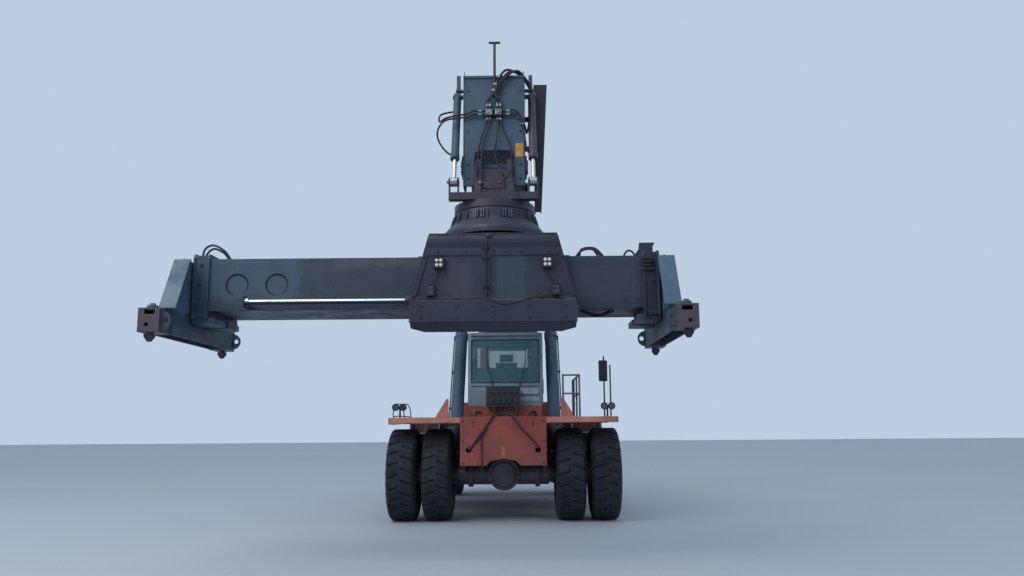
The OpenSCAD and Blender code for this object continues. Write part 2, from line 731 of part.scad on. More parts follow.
module boom_head() color(teal) {
  half = inner_w / 2;
  high = inner_low + inner_h;
  back = 560;
  crown = skin_z(-160, high);
  arch = 180;
  r = 70;
  at_tip() {
    both() {
      difference() {
        side([[-130, -280], [110, -280], [220, -160], [back, skin_z(back, inner_low) - 20],
          [back, skin_z(back, high)], [-130, crown]], half, half + 25);
        rx(60, half + 15, half + 26, 340, 330);
      }
      rx(150, half - 40, half + 45, 0, 0);
      rx(95, half + 44, half + 55, 0, 0);
      bx(half, half + 30, 60, 260, damper_top_z - 160, crown + 30);
      bx(half + 25, half + 140, 110, 190, damper_top_z + 70, damper_top_z + 90);
      bx(half + 80, half + 130, 120, 180, damper_top_z + 89, crown + 140);
      rx(30, half + 80, half + 130, 150, crown + 140);
      rx(30, half, half + 180, damper_top_y, damper_top_z);
      side([[-150, -280], [-100, -280], [-130, 60], [-150, 60]], half - 90, half - 70);
    }
    difference() {
      bx(-half - 25, half + 25, -160, -130, -280, crown);
      bx(-250, 250, -161, -129, -281, arch - r);
      for (x = [-250 + r, 250 - r]) ry(r, -161, -129, x, arch - r);
      bx(-250 + r, 250 - r, -161, -129, arch - r - 1, arch);
    }
    bx(-half - 25, half + 25, -175, -90, crown - 1, crown + 30);
    rx(tilt_pin_r, -half - 58, half + 58, 0, 0);
  }
}

module head_fittings() color(black) {
  half = inner_w / 2;
  at_tip() {
    difference() {
      bx(-109, 102, -230, -160, 608, 698);
      bx(-12, 8, -231, -180, 607, 699);
    }
    for (x = [-85, -50, 45, 80]) rz(14, 560, 740, x, -205);
    for (z = [630, 675]) rx(14, -150, 150, -205, z);
    bx(-20, 40, -200, -160, 880, 1100);
    rz(16, 890, 1576, 10, -200);
    rx(14, -62, 82, -200, 1580);
    bx(-62, 82, -216, -184, 1576, 1590);
    difference() {
      front([[505, -520], [590, -520], [680, 1190], [505, 1190]], 215, 315);
      front([[517, -521], [578, -521], [667, 1178], [517, 1178]], 227, 316);
    }
    for (z = [300, 700]) bx(half + 25, 506, 235, 275, z, z + 60);
  }
}

// Lift cylinders
barrel_len = 3280;

module lift_barrel() {
  translate([lift_x, foot_y, foot_z]) rotate([-lean, 0, 0]) difference() {
    union() {
      rx(150, -110, 110, 0, 0);
      rz(lift_d / 2, 60, barrel_len, 0, 0);
      rz(lift_d / 2 + 12, barrel_len - 160, barrel_len, 0, 0);
      rz(lift_d / 2 + 8, 120, 200, 0, 0);
      rz(14, 230, barrel_len - 90, lift_d / 2 + 22, 0);
      for (z = [240, 1200, 2160, barrel_len - 110])
        bx(0, lift_d / 2 + 40, -30, 30, z, z + 30);
    }
    rz(lift_d / 2 - 20, 160, barrel_len - 120, 0, 0);
    rz(lift_rod_d / 2 + fit, 150, barrel_len + 1, 0, 0);
    rx(foot_pin_r + fit, -111, 111, 0, 0);
  }
}

module lift_rod() {
  translate([lift_x, foot_y, foot_z]) rotate([-lean, 0, 0]) {
    rz(lift_rod_d / 2, lift_len - 3300, lift_len - 100, 0, 0);
    rx(140, -120, 110, 0, lift_len);
    rx(70, 110, 130, 0, lift_len);
  }
}

module lift_barrel_left() color(teal) hand(true) lift_barrel();
module lift_barrel_right() color(teal) hand(false) lift_barrel();
module lift_rod_left() color(steel) hand(true) lift_rod();
module lift_rod_right() color(steel) hand(false) lift_rod();

// Tilt dampers
damper_x = inner_w / 2 + 120;
damper_top_y = 150;
damper_top_z = 1000;
damper_eye_y = -400;
damper_eye_z = -300;
damper_barrel_len = 1050;
damper_lean = atan2(damper_eye_y - damper_top_y, damper_eye_z - damper_top_z);
damper_len = norm([damper_eye_y - damper_top_y, damper_eye_z - damper_top_z]);

module damper_frame() {
  at_tip() translate([damper_x, damper_top_y, damper_top_z]) rotate([-damper_lean, 0, 0])
    children();
}

module damper_barrel() {
  damper_frame() difference() {
    union() {
      rx(55, -40, 40, 0, 0);
      rz(50, 20, damper_barrel_len, 0, 0);
      rz(56, damper_barrel_len - 70, damper_barrel_len, 0, 0);
      for (z = [160, damper_barrel_len - 130]) ry(20, -75, 0, 0, z);
    }
    rz(38, 70, damper_barrel_len - 40, 0, 0);
    rz(25 + fit, 60, damper_barrel_len + 1, 0, 0);
    rx(30 + fit, -56, 56, 0, 0);
  }
}

module damper_rod() {
  damper_frame() {
    rz(25, 100, damper_len - 40, 0, 0);
    rx(55, -40, 40, 0, damper_len);
  }
}

module damper_barrel_left() color(teal) hand(true) damper_barrel();
module damper_barrel_right() color(teal) hand(false) damper_barrel();
module damper_rod_left() color(steel) hand(true) damper_rod();
module damper_rod_right() color(steel) hand(false) damper_rod();

// Yoke and rotator
module yoke() color(rust) at_tip() {
  both() {
    difference() {
      union() {
        rx(150, 160, 240, 0, 0);
        rx(95, 239, 290, 0, 0);
        side([[-150, 0], [150, 0], [300, -440], [-300, -440]], 160, 240);
      }
      rx(tilt_pin_r + fit, 159, 291, 0, 0);
    }
    bx(289, damper_x + 60, -455, -345, -530, -440);
    for (x = [damper_x - 60, damper_x + 45]) {
      side([[-455, -441], [-345, -441], [-370, -250], [-430, -250]], x, x + 15);
      rx(42, x - 4, x + 19, damper_eye_y, damper_eye_z - 20);
    }
    side([[-280, -441], [-230, -441], [-90, -150], [-110, -150]], 100, 161);
  }
  front([[-235, -441], [235, -441], [225, -120], [190, -80], [-190, -80], [-225, -120]], -205, -165);
  for (x = [-150, 150]) ry(26, -225, -204, x, -170);
  bx(-290, 290, -300, 300, -530, -440);
  bx(-160, 160, -20, 20, -441, -200);
  rz(500, -620, -530, 0, 0);
  bx(-290, 290, -460, -299, -530, -440);
  for (a = [0 : 30 : 359]) rotate([0, 0, a + 15]) rz(22, -531, -512, 455, 0);
}

module rotator_cover() color(navy) at_tip() {
  rotate_extrude() polygon([[200 + fit, -620], [470, -620], [500, -632], [505, -740], [560, -800],
    [620, -870], [632, -905], [632, -955], [612, -955], [612, -905], [545, -815], [450, -760],
    [450, -660], [200 + fit, -660]]);
  for (a = [7.5 : 15 : 359]) rotate([0, 0, a])
    front([[500, -650], [512, -650], [556, -792], [500, -792]], -5, 5);
}

// Trolley
beam_low = -1850;
beam_high = beam_low + beam_h;
trolley_top = -1010;
trolley_low = -2150;
shift_r = 62;
shift_rod_r = 35;
shift_y = -(beam_w / 2 + trolley_half + 20) / 2;
shift_z = -1775;
lug_x = -2070;

module trolley() color(navy) at_tip() {
  t = trolley_half;
  step = 45;
  outline = [[-735, trolley_top], [-935, -1780], [-967, -1885], [-937, -2110], [-780, trolley_low],
    [780, trolley_low], [937, -2110], [967, -1885], [935, -1780], [735, trolley_top]];
  face = [[t, trolley_top], [t + 15, -1080], [t + 15, -1120], [t, -1180], [t, -1775],
    [t + step, -1800], [t + step, -2030], [t - 40, trolley_low]];
  inner = beam_w / 2 + 20;
  difference() {
    intersection() {
      front(outline, -t - step, t + step);
      side(concat(face, [for (i = [len(face) - 1 : -1 : 0]) [-face[i][0], face[i][1]]]), -1000, 1000);
    }
    bx(-1100, 1100, -inner, inner, beam_low - 20, beam_high + 20);
    for (s = [-1, 1]) {
      bx(-1100, 1100, s * (inner + 30), s * (t - 30), -2080, -1290);
      bx(-1100, 1100, s * (inner + 30), s * (t - 30), -1250, -1060);
      difference() {
        front([[-752, -1270], [752, -1270], [880, -1750], [-880, -1750]], s > 0 ? t - 14 : -t - 1,
          s > 0 ? t + 1 : -t + 14);
        bx(-130, -30, -t - 2, t + 2, -1800, -1200);
      }
    }
    bx(-1100, 1100, -t + 30, t - 30, -1160, -1060);
    bx(-1100, 1100, -inner + 20, inner - 20, -2110, -1920);
  }
  difference() {
    for (x = [-700, -350, 0, 350, 700]) for (s = [-1, 1])
      bx(x - 10, x + 10, s * inner, s * (t - 29), -2090, -1200);
    rx(shift_r + 0.3, -1100, 1100, shift_y, shift_z);
  }
  for (s = [-1, 1]) for (x = [-800, 800]) {
    bx(x - 100, x + 100, s * (beam_w / 2 + fit), s * (inner + 1), -1800, -1400);
    bx(x - 100, x + 100, s * 100, s * 400, beam_low - 21, beam_low - fit);
    bx(x - 100, x + 100, s * 100, s * 400, beam_high + fit, beam_high + 21);
  }
  for (x = [-500, 0, 500]) bx(x - 10, x + 10, -t + 29, t - 29, -1190, -1030);
  rx(30, -80, -20, -t - 8, -1045);
  rz(600, trolley_top - 1, trolley_top + 40, 0, 0);
  rz(440, trolley_top, -670, 0, 0);
  rz(200, -680, -625, 0, 0);
}

module trolley_lamps() color([0.8, 0.8, 0.75]) at_tip() {
  // x, z, width, height
  for (p = [[620, -1360, 115, 130], [715, -1675, 90, 130]]) both() difference() {
    bx(p[0] - p[2] / 2, p[0] + p[2] / 2, -trolley_half - 60, -trolley_half + 14, p[1] - p[3] / 2,
      p[1] + p[3] / 2);
    bx(p[0] - p[2] / 2 + 8, p[0] + p[2] / 2 - 8, -trolley_half - 61, -trolley_half - 45,
      p[1] - p[3] / 2 + 8, p[1] + p[3] / 2 - 8);
  }
}

module shift_cylinder() color(navy) at_tip() difference() {
  rx(shift_r, -1020, 900, shift_y, shift_z);
  rx(shift_r - 15, -940, 880, shift_y, shift_z);
  rx(shift_rod_r + fit, -1021, -930, shift_y, shift_z);
}

module main_beam() color(teal) at_spreader() {
  l = beam_len / 2;
  w = beam_w / 2;
  difference() {
    union() {
      bx(-l, l, -w, w, beam_low, beam_high);
      for (s = [-1, 1]) {
        bx(s * l, s * (l - collar_len), -w - 25, w + 25, beam_low - 80, beam_high + 40);
        for (x = [l - 25, l - collar_len]) side([[-w - 40, beam_low - 95], [w + 40, beam_low - 95],
          [w + 40, beam_high + 10], [w, beam_high + 59], [-w, beam_high + 59],
          [-w - 40, beam_high + 10]], s > 0 ? x : -x - 25, s > 0 ? x + 25 : -x);
        bx(s * l, s * (l - 265), -w, -60, beam_low - 150, beam_low - 79);
        bx(s * l, s * (l - 265), 60, w, beam_low - 150, beam_low - 79);
        for (z = [beam_high - 70, beam_high - 300]) ry(15, -w - 38, -w - 24, s * (l - 90), z);
      }
    }
    bx(-l - 1, l + 1, -w + 20, w - 20, beam_low + 20, beam_high - 20);
    for (x = [-2230, -1760]) ry(136, -w - 1, -w + 12, x, beam_high - 315);
  }
  bx(-l, l, -8, 8, beam_low + 10, beam_high - 10);
  for (x = [-l + 150, l - 150]) {
    bx(x - 100, x + 100, -w + 60, w - 60, beam_low + 19, beam_low + 32 - fit);
    bx(x - 100, x + 100, -w + 60, w - 60, beam_high - 32 + fit, beam_high - 19);
  }
  bx(lug_x - 110, lug_x, shift_y - 70, -w + 1, shift_z - 70, shift_z + 70);
  front([[l - 185, beam_high + 39], [l - 5, beam_high + 39], [l - 5, -1040], [l + 20, -990],
    [l - 150, -990], [l - 170, -1040]], -60, -40);
  side([[-60, beam_high + 39], [120, beam_high + 39], [-40, -990], [-60, -990]], l - 170, l - 150);
  front([[l - 300, beam_high - 1], [l - 190, beam_high - 1], [l - 170, -1060]], -20, 20);
}

module shift_rod() color(steel) at_spreader() {
  rx(shift_rod_r, lug_x, shift_x - 850, shift_y, shift_z);
  rx(shift_rod_r + 18, lug_x, lug_x + 40, shift_y, shift_z);
}

// Spreader arms
module arm() {
  l = beam_len / 2;
  x0 = lock_len / 2 + box_end;
  c = lock_len / 2;
  y = lock_w / 2;
  out = y + box_side;
  web = -x0 + 240;
  low = -1900;
  difference() {
    bx(-x0 + 165, 1200, -beam_w / 2 + 45, -25, beam_low + 32, beam_high - 32);
    bx(-x0 + 180, 1201, -beam_w / 2 + 60, -40, beam_low + 47, beam_high - 47);
  }
  side([[-1030, low], [-685, beam_high - 40], [685, beam_high - 40], [1030, low]], web, web + 25);
  for (s = [-1, 1]) {
    side([[s * 1050, low], [s * 700, beam_high - 50], [s * 672, beam_high - 50], [s * 1022, low]],
      -x0 + 145, -x0 + 335);
    for (g = [150, 480]) front([[-x0 + 60, low], [web + 1, low], [web + 1, -1450]], s * g - 8, s * g + 8);
    difference() {
      bx(-x0, -x0 + 235, s * out, s * (out - 300), -2180, -1915);
      bx(-x0 + 25, -x0 + 210, s * (out - 25), s * (out - 275), -2155, -1940);
      bx(-x0 + 67, -x0 + 182, s * (out + 1), s * (out - 26), -1987, -1933);
      ry(22, s > 0 ? out - 26 : -out - 1, s > 0 ? out + 1 : -out + 26, -x0 + 97, -2100);
      rz(40, -2181, -2154, -c, s * y);
    }
    difference() {
      ry(103, s * 1150 - 15, s * 1150 + 15, -x0 + 235, -2050);
      bx(-x0 + 20, -x0 + 234, s * 1150 - 16, s * 1150 + 16, -2160, -1930);
      ry(30, s * 1150 - 16, s * 1150 + 16, -x0 + 285, -2050);
    }
  }
  difference() {
    bx(-x0 + 30, -x0 + 259, -out + 299, out - 299, -2180, low);
    bx(-x0 + 50, -x0 + 239, -out + 319, out - 319, -2181, low - 25);
  }
  bx(web - 60, web + 1, -400, 400, beam_high - 60, beam_high - 40);
}

module arm_left() color(teal) at_spreader() arm();
module arm_right() color(teal) at_spreader() rotate([0, 0, 180]) arm();

module twistlock(sx, sy) color(rust) at_spreader() translate([sx * lock_len / 2, sy * lock_w / 2, 0]) {
  rz(40 - fit, -2195, -2120, 0, 0);
  rz(60, -2155 + fit, -2120, 0, 0);
  intersection() {
    front([[-52, -2195], [52, -2195], [52, -2225], [20, -2278], [-20, -2278], [-52, -2225]], -40, 40);
    side([[-32, -2195], [32, -2195], [32, -2230], [14, -2279], [-14, -2279], [-32, -2230]], -60, 60);
  }
}

module twistlock_1() twistlock(-1, -1);
module twistlock_2() twistlock(-1, 1);
module twistlock_3() twistlock(1, -1);
module twistlock_4() twistlock(1, 1);

in_frame() {
  frame();
  front_fenders();
  drive_axle();
  steer_axle();
  counterweight();
  engine_hood();
  engine_block();
  side_tanks();
  walkways();
  handrails();
  mirrors_lamps();
  valve_box();
  exhaust();
  cab_shell();
  cab_glass();
  cab_interior();
  door_left();
  door_right();
  door_glass_left();
  door_glass_right();
  hood_door_left();
  hood_door_right();
  outer_boom();
  hose_track();
  inner_boom();
  boom_head();
  head_fittings();
  lift_barrel_left();
  lift_barrel_right();
  lift_rod_left();
  lift_rod_right();
  damper_barrel_left();
  damper_barrel_right();
  damper_rod_left();
  damper_rod_right();
  yoke();
  rotator_cover();
  trolley();
  trolley_lamps();
  shift_cylinder();
  main_beam();
  shift_rod();
  arm_left();
  arm_right();
  twistlock_1();
  twistlock_2();
  twistlock_3();
  twistlock_4();
  knuckle_left();
  knuckle_right();
  tyres_front_left();
  tyres_front_right();
  rims_front_left();
  rims_front_right();
  tyre_rear_left();
  tyre_rear_right();
  rim_rear_left();
  rim_rear_right();
}
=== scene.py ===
import json
import math
import bmesh
import bpy
from mathutils import Matrix, Vector


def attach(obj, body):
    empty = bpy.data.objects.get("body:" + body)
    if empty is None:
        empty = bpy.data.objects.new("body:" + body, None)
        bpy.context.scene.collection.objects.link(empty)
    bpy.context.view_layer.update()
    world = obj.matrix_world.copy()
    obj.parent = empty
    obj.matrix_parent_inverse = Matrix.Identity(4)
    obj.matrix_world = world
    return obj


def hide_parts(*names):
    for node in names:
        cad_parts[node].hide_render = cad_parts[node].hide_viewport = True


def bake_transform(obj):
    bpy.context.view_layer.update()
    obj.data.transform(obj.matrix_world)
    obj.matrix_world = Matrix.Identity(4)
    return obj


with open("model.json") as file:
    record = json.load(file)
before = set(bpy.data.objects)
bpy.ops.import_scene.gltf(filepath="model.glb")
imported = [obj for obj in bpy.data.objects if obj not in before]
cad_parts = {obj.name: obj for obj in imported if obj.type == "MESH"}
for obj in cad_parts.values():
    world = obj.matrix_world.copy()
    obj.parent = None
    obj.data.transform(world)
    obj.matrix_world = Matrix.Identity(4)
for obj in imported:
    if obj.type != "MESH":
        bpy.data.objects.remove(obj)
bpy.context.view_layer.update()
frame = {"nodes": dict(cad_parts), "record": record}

NODES = frame["nodes"]

# The photograph's frame and the camera that fits it
PHOTO_WIDTH = 1024
FOCAL_PIXELS = 842.4
SENSOR = 36.0
CAMERA_PLACE = Vector((1.096, -16.049, 1.62))
CAMERA_PITCH = math.radians(9.44)
CAMERA_YAW = math.radians(-0.49)
CAMERA_ROLL = math.radians(-0.405)

# Origins of the machine's own measures, in the row frame. Pieces are drawn in millimetres from them.
MACHINE = Vector((0.8, -0.4404, 0))
TILT_PIN = MACHINE + Vector((0, -5.4002, 4.8505))
SPREADER = TILT_PIN - Vector((0.8, 0, 0))
BOOM_PIN = MACHINE + Vector((0, 6.1, 4.05))
BOOM_ANGLE = math.radians(7)

# Sizes and places of the solids that the pieces sit on, in millimetres
TYRE_R = 807.5
FRONT_TYRES = (1180, 1800)
REAR_TYRE = 1400
REAR_AXLE = 6000
NOSE_FRONT = -800
FENDER_TOP = 1810
TROLLEY_FACE = -735
# The ledge under the trolley's face, measured from that face
LEDGE = -45
BEAM_FACE = -445
BEAM_TOP = -1230
# The twistlocks from the spreader's middle, and the spreader's shift to the left
LOCK_X = 5853 / 2
LOCK_Y = 2259 / 2
SHIFT = -800
HEAD_FACE = -160
HEAD_TOP = 1270
PORT_Y = -205
BOOM_FOOT = (0, 6100, 4050)
EXHAUST = (-850, 5540)
TAIL = 7500

TROLLEY_FRONT = TILT_PIN + Vector((0, TROLLEY_FACE / 1000, 0))
# Directions that bolts face, and the names of the sides
FRONT = (0, -1, 0)
BACK = (0, 1, 0)
UP = (0, 0, 1)
SIDES = (("left", -1), ("right", 1))


def placed(name, data):
    """A new object in the scene for a mesh, a camera or a lamp."""
    made = bpy.data.objects.new(name, data)
    bpy.context.scene.collection.objects.link(made)
    return made


def add_camera():
    """The photograph's camera, from its place, pitch, yaw and roll."""
    right = Vector((math.cos(CAMERA_YAW), -math.sin(CAMERA_YAW), 0))
    level = Vector((math.sin(CAMERA_YAW), math.cos(CAMERA_YAW), 0))
    ahead = level * math.cos(CAMERA_PITCH) + Vector((0, 0, math.sin(CAMERA_PITCH)))
    up = Vector((0, 0, math.cos(CAMERA_PITCH))) - level * math.sin(CAMERA_PITCH)
    x_axis = right * math.cos(CAMERA_ROLL) + up * math.sin(CAMERA_ROLL)
    y_axis = up * math.cos(CAMERA_ROLL) - right * math.sin(CAMERA_ROLL)
    data = bpy.data.cameras.new("camera")
    data.sensor_width = SENSOR
    data.lens = FOCAL_PIXELS / PHOTO_WIDTH * SENSOR
    data.clip_end = 200
    camera = placed("camera", data)
    turn = Matrix((x_axis, y_axis, -ahead)).transposed().to_4x4()
    camera.matrix_world = Matrix.Translation(CAMERA_PLACE) @ turn
    bpy.context.scene.camera = camera


class Nodes:
    """A material's node tree, with short calls to add and join nodes."""

    def __init__(self, name):
        self.material = bpy.data.materials.new(name)
        self.material.use_nodes = True
        self.tree = self.material.node_tree
        self.tree.nodes.clear()
        out = self.add("ShaderNodeOutputMaterial")
        self.shader = self.add("ShaderNodeBsdfPrincipled")
        self.give(out.inputs[0], self.shader.outputs[0])
        self.place = self.add("ShaderNodeTexCoord").outputs["Object"]
        self.normal = self.add("ShaderNodeNewGeometry").outputs["Normal"]

    def add(self, kind, **settings):
        node = self.tree.nodes.new(kind)
        for key, value in settings.items():
            setattr(node, key, value)
        return node

    def give(self, target, value):
        """Gives an input a number, a display colour or another node's output."""
        if isinstance(value, bpy.types.NodeSocket):
            self.tree.links.new(value, target)
        elif isinstance(value, tuple):
            target.default_value = colour(value)
        else:
            target.default_value = value

    def feed(self, node, **values):
        """Gives a node's inputs their values, with _ for a space in an input's name."""
        for key, value in values.items():
            self.give(node.inputs[key.replace("_", " ")], value)
        return node

    def surface(self, **values):
        self.feed(self.shader, **values)

    def mapped(self, **settings):
        """The object's own coordinates after a mapping's scale or rotation."""
        mapping = self.feed(self.add("ShaderNodeMapping"), Vector=self.place)
        for key, value in settings.items():
            mapping.inputs[key].default_value = value
        return mapping.outputs["Vector"]

    def noise(self, scale, detail=4.0, rough=0.55, stretch=None, low=0.4, high=0.6):
        """Noise spread over 0 to 1 between its low and high levels."""
        place = self.mapped(Scale=stretch) if stretch else self.place
        texture = self.add("ShaderNodeTexNoise")
        self.feed(texture, Vector=place, Scale=scale, Detail=detail, Roughness=rough)
        return self.spread(texture.outputs[0], low, high)

    def spread(self, socket, low, high, to_low=0.0, to_high=1.0):
        """A value's range from low to high spread over another range, and held at its ends."""
        ramp = self.add("ShaderNodeMapRange", clamp=True)
        self.feed(ramp, Value=socket, From_Min=low, From_Max=high, To_Min=to_low, To_Max=to_high)
        return ramp.outputs["Result"]

    def math(self, operation, a, b):
        node = self.add("ShaderNodeMath", operation=operation)
        self.give(node.inputs[0], a)
        self.give(node.inputs[1], b)
        return node.outputs[0]

    def times(self, a, b):
        return self.math("MULTIPLY", a, b)

    def mix(self, factor, a, b):
        node = self.add("ShaderNodeMix", data_type="RGBA")
        for index, value in ((0, factor), (6, a), (7, b)):
            self.give(node.inputs[index], value)
        return node.outputs[2]

    def part(self, vector, axis):
        split = self.add("ShaderNodeSeparateXYZ")
        self.give(split.inputs[0], vector)
        return split.outputs[axis]

    def along(self, axis):
        """The object's own coordinate along X, Y or Z, in metres."""
        return self.part(self.place, axis)

    def upward(self):
        """How far a face looks up, from -1 to 1."""
        return self.part(self.normal, "Z")

    def patch(self, ranges, soft=0.03):
        """1 inside the ranges of (axis, low, high), with soft ragged edges, and 0 outside."""
        ragged = self.math("SUBTRACT", self.noise(9, 4, low=0.3, high=0.7), 0.5)
        ragged = self.times(ragged, soft * 3)
        inside = 1.0
        for axis, low, high in ranges:
            value = self.math("ADD", self.along(axis), ragged)
            inside = self.times(inside, self.spread(value, low - soft, low + soft))
            inside = self.times(inside, self.spread(value, high + soft, high - soft))
        return inside

    def edges(self, radius=0.012):
        """Worn edges from 0 to 1, and the normal that rounds them."""
        bevel = self.feed(self.add("ShaderNodeBevel", samples=6), Radius=radius)
        dot = self.add("ShaderNodeVectorMath", operation="DOT_PRODUCT")
        self.give(dot.inputs[0], bevel.outputs[0])
        self.give(dot.inputs[1], self.normal)
        return self.spread(dot.outputs["Value"], 0.985, 0.86), bevel.outputs[0]

    def bump(self, height, strength, distance, normal=None):
        node = self.feed(self.add("ShaderNodeBump"), Height=height, Strength=strength, Distance=distance)
        if normal is not None:
            self.feed(node, Normal=normal)
        self.surface(Normal=node.outputs[0])


def colour(rgb):
    """A display colour of 0 to 255 as the linear one that shaders take."""
    linear = [(c / 255 / 12.92) if c <= 10 else ((c / 255 + 0.055) / 1.055) ** 2.4 for c in rgb]
    return (*linear, 1.0)


def painted(name, base, pale, dirt, rust, wear=0.6, gloss=0.42, grime=0.5, mud=0.0, dust=0.25, patches=()):
    """Old paint on steel plate: faded tone, streaks, grease, chips and rubbed edges."""
    n = Nodes(name)
    edge, normal = n.edges()
    tone = n.mix(n.noise(0.8, 6, 0.6, low=0.35, high=0.65), base, pale)
    # Patches of other tones; those on the fenders and tanks are painted shade.
    for ranges, rgb, strength in patches:
        tone = n.mix(n.times(n.patch(ranges), strength), tone, rgb)
    streaks = n.noise(5.0, 6, 0.68, stretch=(1, 1, 0.1), low=0.5, high=0.78)
    tone = n.mix(n.times(streaks, grime), tone, dirt)
    blotches = n.noise(1.9, 9, 0.72, low=0.5, high=0.76)
    tone = n.mix(n.times(blotches, grime), tone, dirt)
    tone = n.mix(n.times(n.spread(n.upward(), 0.6, 1.0), dust), tone, DUST)
    if mud:
        ragged = n.math("ADD", n.along("Z"), n.times(n.noise(3, 6), 0.5))
        tone = n.mix(n.times(n.spread(ragged, 1.5, 0.7), mud), tone, MUD)
    chips = n.times(n.noise(30.0, 7, 0.8, low=0.66, high=0.7), 0.9)
    rubbed = n.times(edge, n.noise(11.0, 6, 0.7, low=0.4, high=0.62))
    worn = n.times(n.math("MAXIMUM", chips, rubbed), wear)
    tone = n.mix(worn, tone, rust)
    scratches = n.noise(16.0, 3, 0.5, stretch=(0.14, 1, 3.4), low=0.7, high=0.74)
    tone = n.mix(n.times(scratches, 0.35 * wear), tone, pale)
    rough = n.spread(n.noise(3.5, 6, 0.65), 0, 1, gloss, gloss + 0.26)
    rough = n.math("ADD", rough, n.times(worn, 0.2))
    n.surface(Base_Color=tone, Roughness=rough, Coat_Weight=0.12, Coat_Roughness=0.35)
    height = n.math("SUBTRACT", n.times(n.noise(1.6, 3), 0.5), n.times(worn, 0.35))
    height = n.math("ADD", height, n.times(n.noise(60.0, 4), 0.08))
    n.bump(height, 0.35, 0.006, normal)
    return n.material


def chrome(name, reflected_below):
    """Oiled chrome, streaked with an oil film; where it faces down it takes a painted reflection of the
    ground below.
    """
    n = Nodes(name)
    oil = n.noise(6.0, 6, 0.7, stretch=(1, 1, 0.3), low=0.52, high=0.75)
    tone = n.mix(n.times(oil, 0.6), (206, 212, 220), (112, 116, 122))
    # Faces that look down take the given tone, a painted reflection of the ground below.
    tone = n.mix(n.spread(n.upward(), 0.35, -0.25), tone, reflected_below)
    n.surface(Base_Color=tone, Roughness=n.spread(oil, 0, 1, 0.16, 0.42), Metallic=0.9)
    n.bump(n.noise(90.0, 3), 0.08, 0.001)
    return n.material


def rubber(name, base, dust, rough=0.72, grip=0.5):
    """Rubber with dust in its low places and rubbed high ones."""
    n = Nodes(name)
    edge, normal = n.edges(0.01)
    tone = n.mix(n.noise(2.2, 7, 0.7, low=0.42, high=0.7), base, dust)
    tone = n.mix(n.times(edge, grip), tone, (92, 92, 94))
    n.surface(Base_Color=tone, Roughness=n.spread(n.noise(7.0, 5), 0, 1, rough, rough + 0.2))
    n.bump(n.noise(75.0, 6, 0.7), 0.35, 0.003, normal)
    return n.material


def plain(name, base, other, rough=0.5, scale=8.0, metal=0.0, grain=0.2, fine=120.0):
    """A small fitting's finish: two mottled tones and a fine grain."""
    n = Nodes(name)
    gloss = n.spread(n.noise(scale * 2, 5), 0, 1, rough, rough + 0.18)
    n.surface(Base_Color=n.mix(n.noise(scale, 6, 0.65), base, other), Roughness=gloss, Metallic=metal)
    n.bump(n.noise(fine, 4), grain, 0.001)
    return n.material


def glass():
    """Tinted glass with smears that dull it."""
    n = Nodes("glass")
    smear = n.noise(2.4, 7, 0.7, low=0.5, high=0.8)
    n.surface(Base_Color=n.mix(smear, (98, 140, 148), (78, 110, 120)),
        Roughness=n.spread(smear, 0, 1, 0.02, 0.2), Alpha=n.spread(smear, 0, 1, 0.30, 0.46), IOR=1.5)
    return n.material


def lens(name, base, bright, glow_and_glint):
    """A lamp's lens: ribbed, glossy and a little lit from inside; on the upper trolley lamps the bright tone
    and glow are a painted glint.
    """
    n = Nodes(name)
    ribs = n.add("ShaderNodeTexWave", wave_type="BANDS", bands_direction="X")
    ribs = n.feed(ribs, Scale=30, Vector=n.place).outputs["Fac"]
    n.surface(Base_Color=n.mix(ribs, base, bright), Roughness=0.12, Emission_Color=bright,
        Emission_Strength=glow_and_glint)
    n.bump(ribs, 0.3, 0.002)
    return n.material


def tread_plate():
    """Grey steel walkway plate with raised crossed bars."""
    n = Nodes("walk_plate")
    edge, normal = n.edges()
    waves = []
    for turn in (math.pi / 4, -math.pi / 4):
        wave = n.add("ShaderNodeTexWave", wave_type="BANDS", bands_direction="X")
        n.feed(wave, Scale=6.5, Vector=n.mapped(Rotation=(0, 0, turn)))
        waves.append(n.spread(wave.outputs["Fac"], 0.72, 0.86))
    bars = n.times(n.math("MAXIMUM", *waves), n.spread(n.upward(), 0.7, 0.95))
    tone = n.mix(n.noise(1.5, 6), (92, 98, 104), (118, 122, 126))
    tone = n.mix(n.times(n.noise(4.0, 7, 0.7, low=0.5, high=0.75), 0.6), tone, (62, 58, 58))
    tone = n.mix(n.times(n.math("MAXIMUM", bars, edge), 0.4), tone, (158, 160, 162))
    n.surface(Base_Color=tone, Roughness=n.spread(n.noise(6.0, 5), 0, 1, 0.42, 0.7), Metallic=0.25)
    n.bump(bars, 0.6, 0.006, normal)
    return n.material


# Display colours of dust, mud, the sky and the two main paints
DUST = (150, 150, 146)
MUD = (74, 66, 64)
SKY = (190, 206, 226)
TEAL = ((47, 66, 84), (62, 84, 104), (32, 40, 55), (86, 80, 84))
ORANGE = ((132, 52, 47), (156, 78, 66), (66, 43, 44), (54, 42, 46))

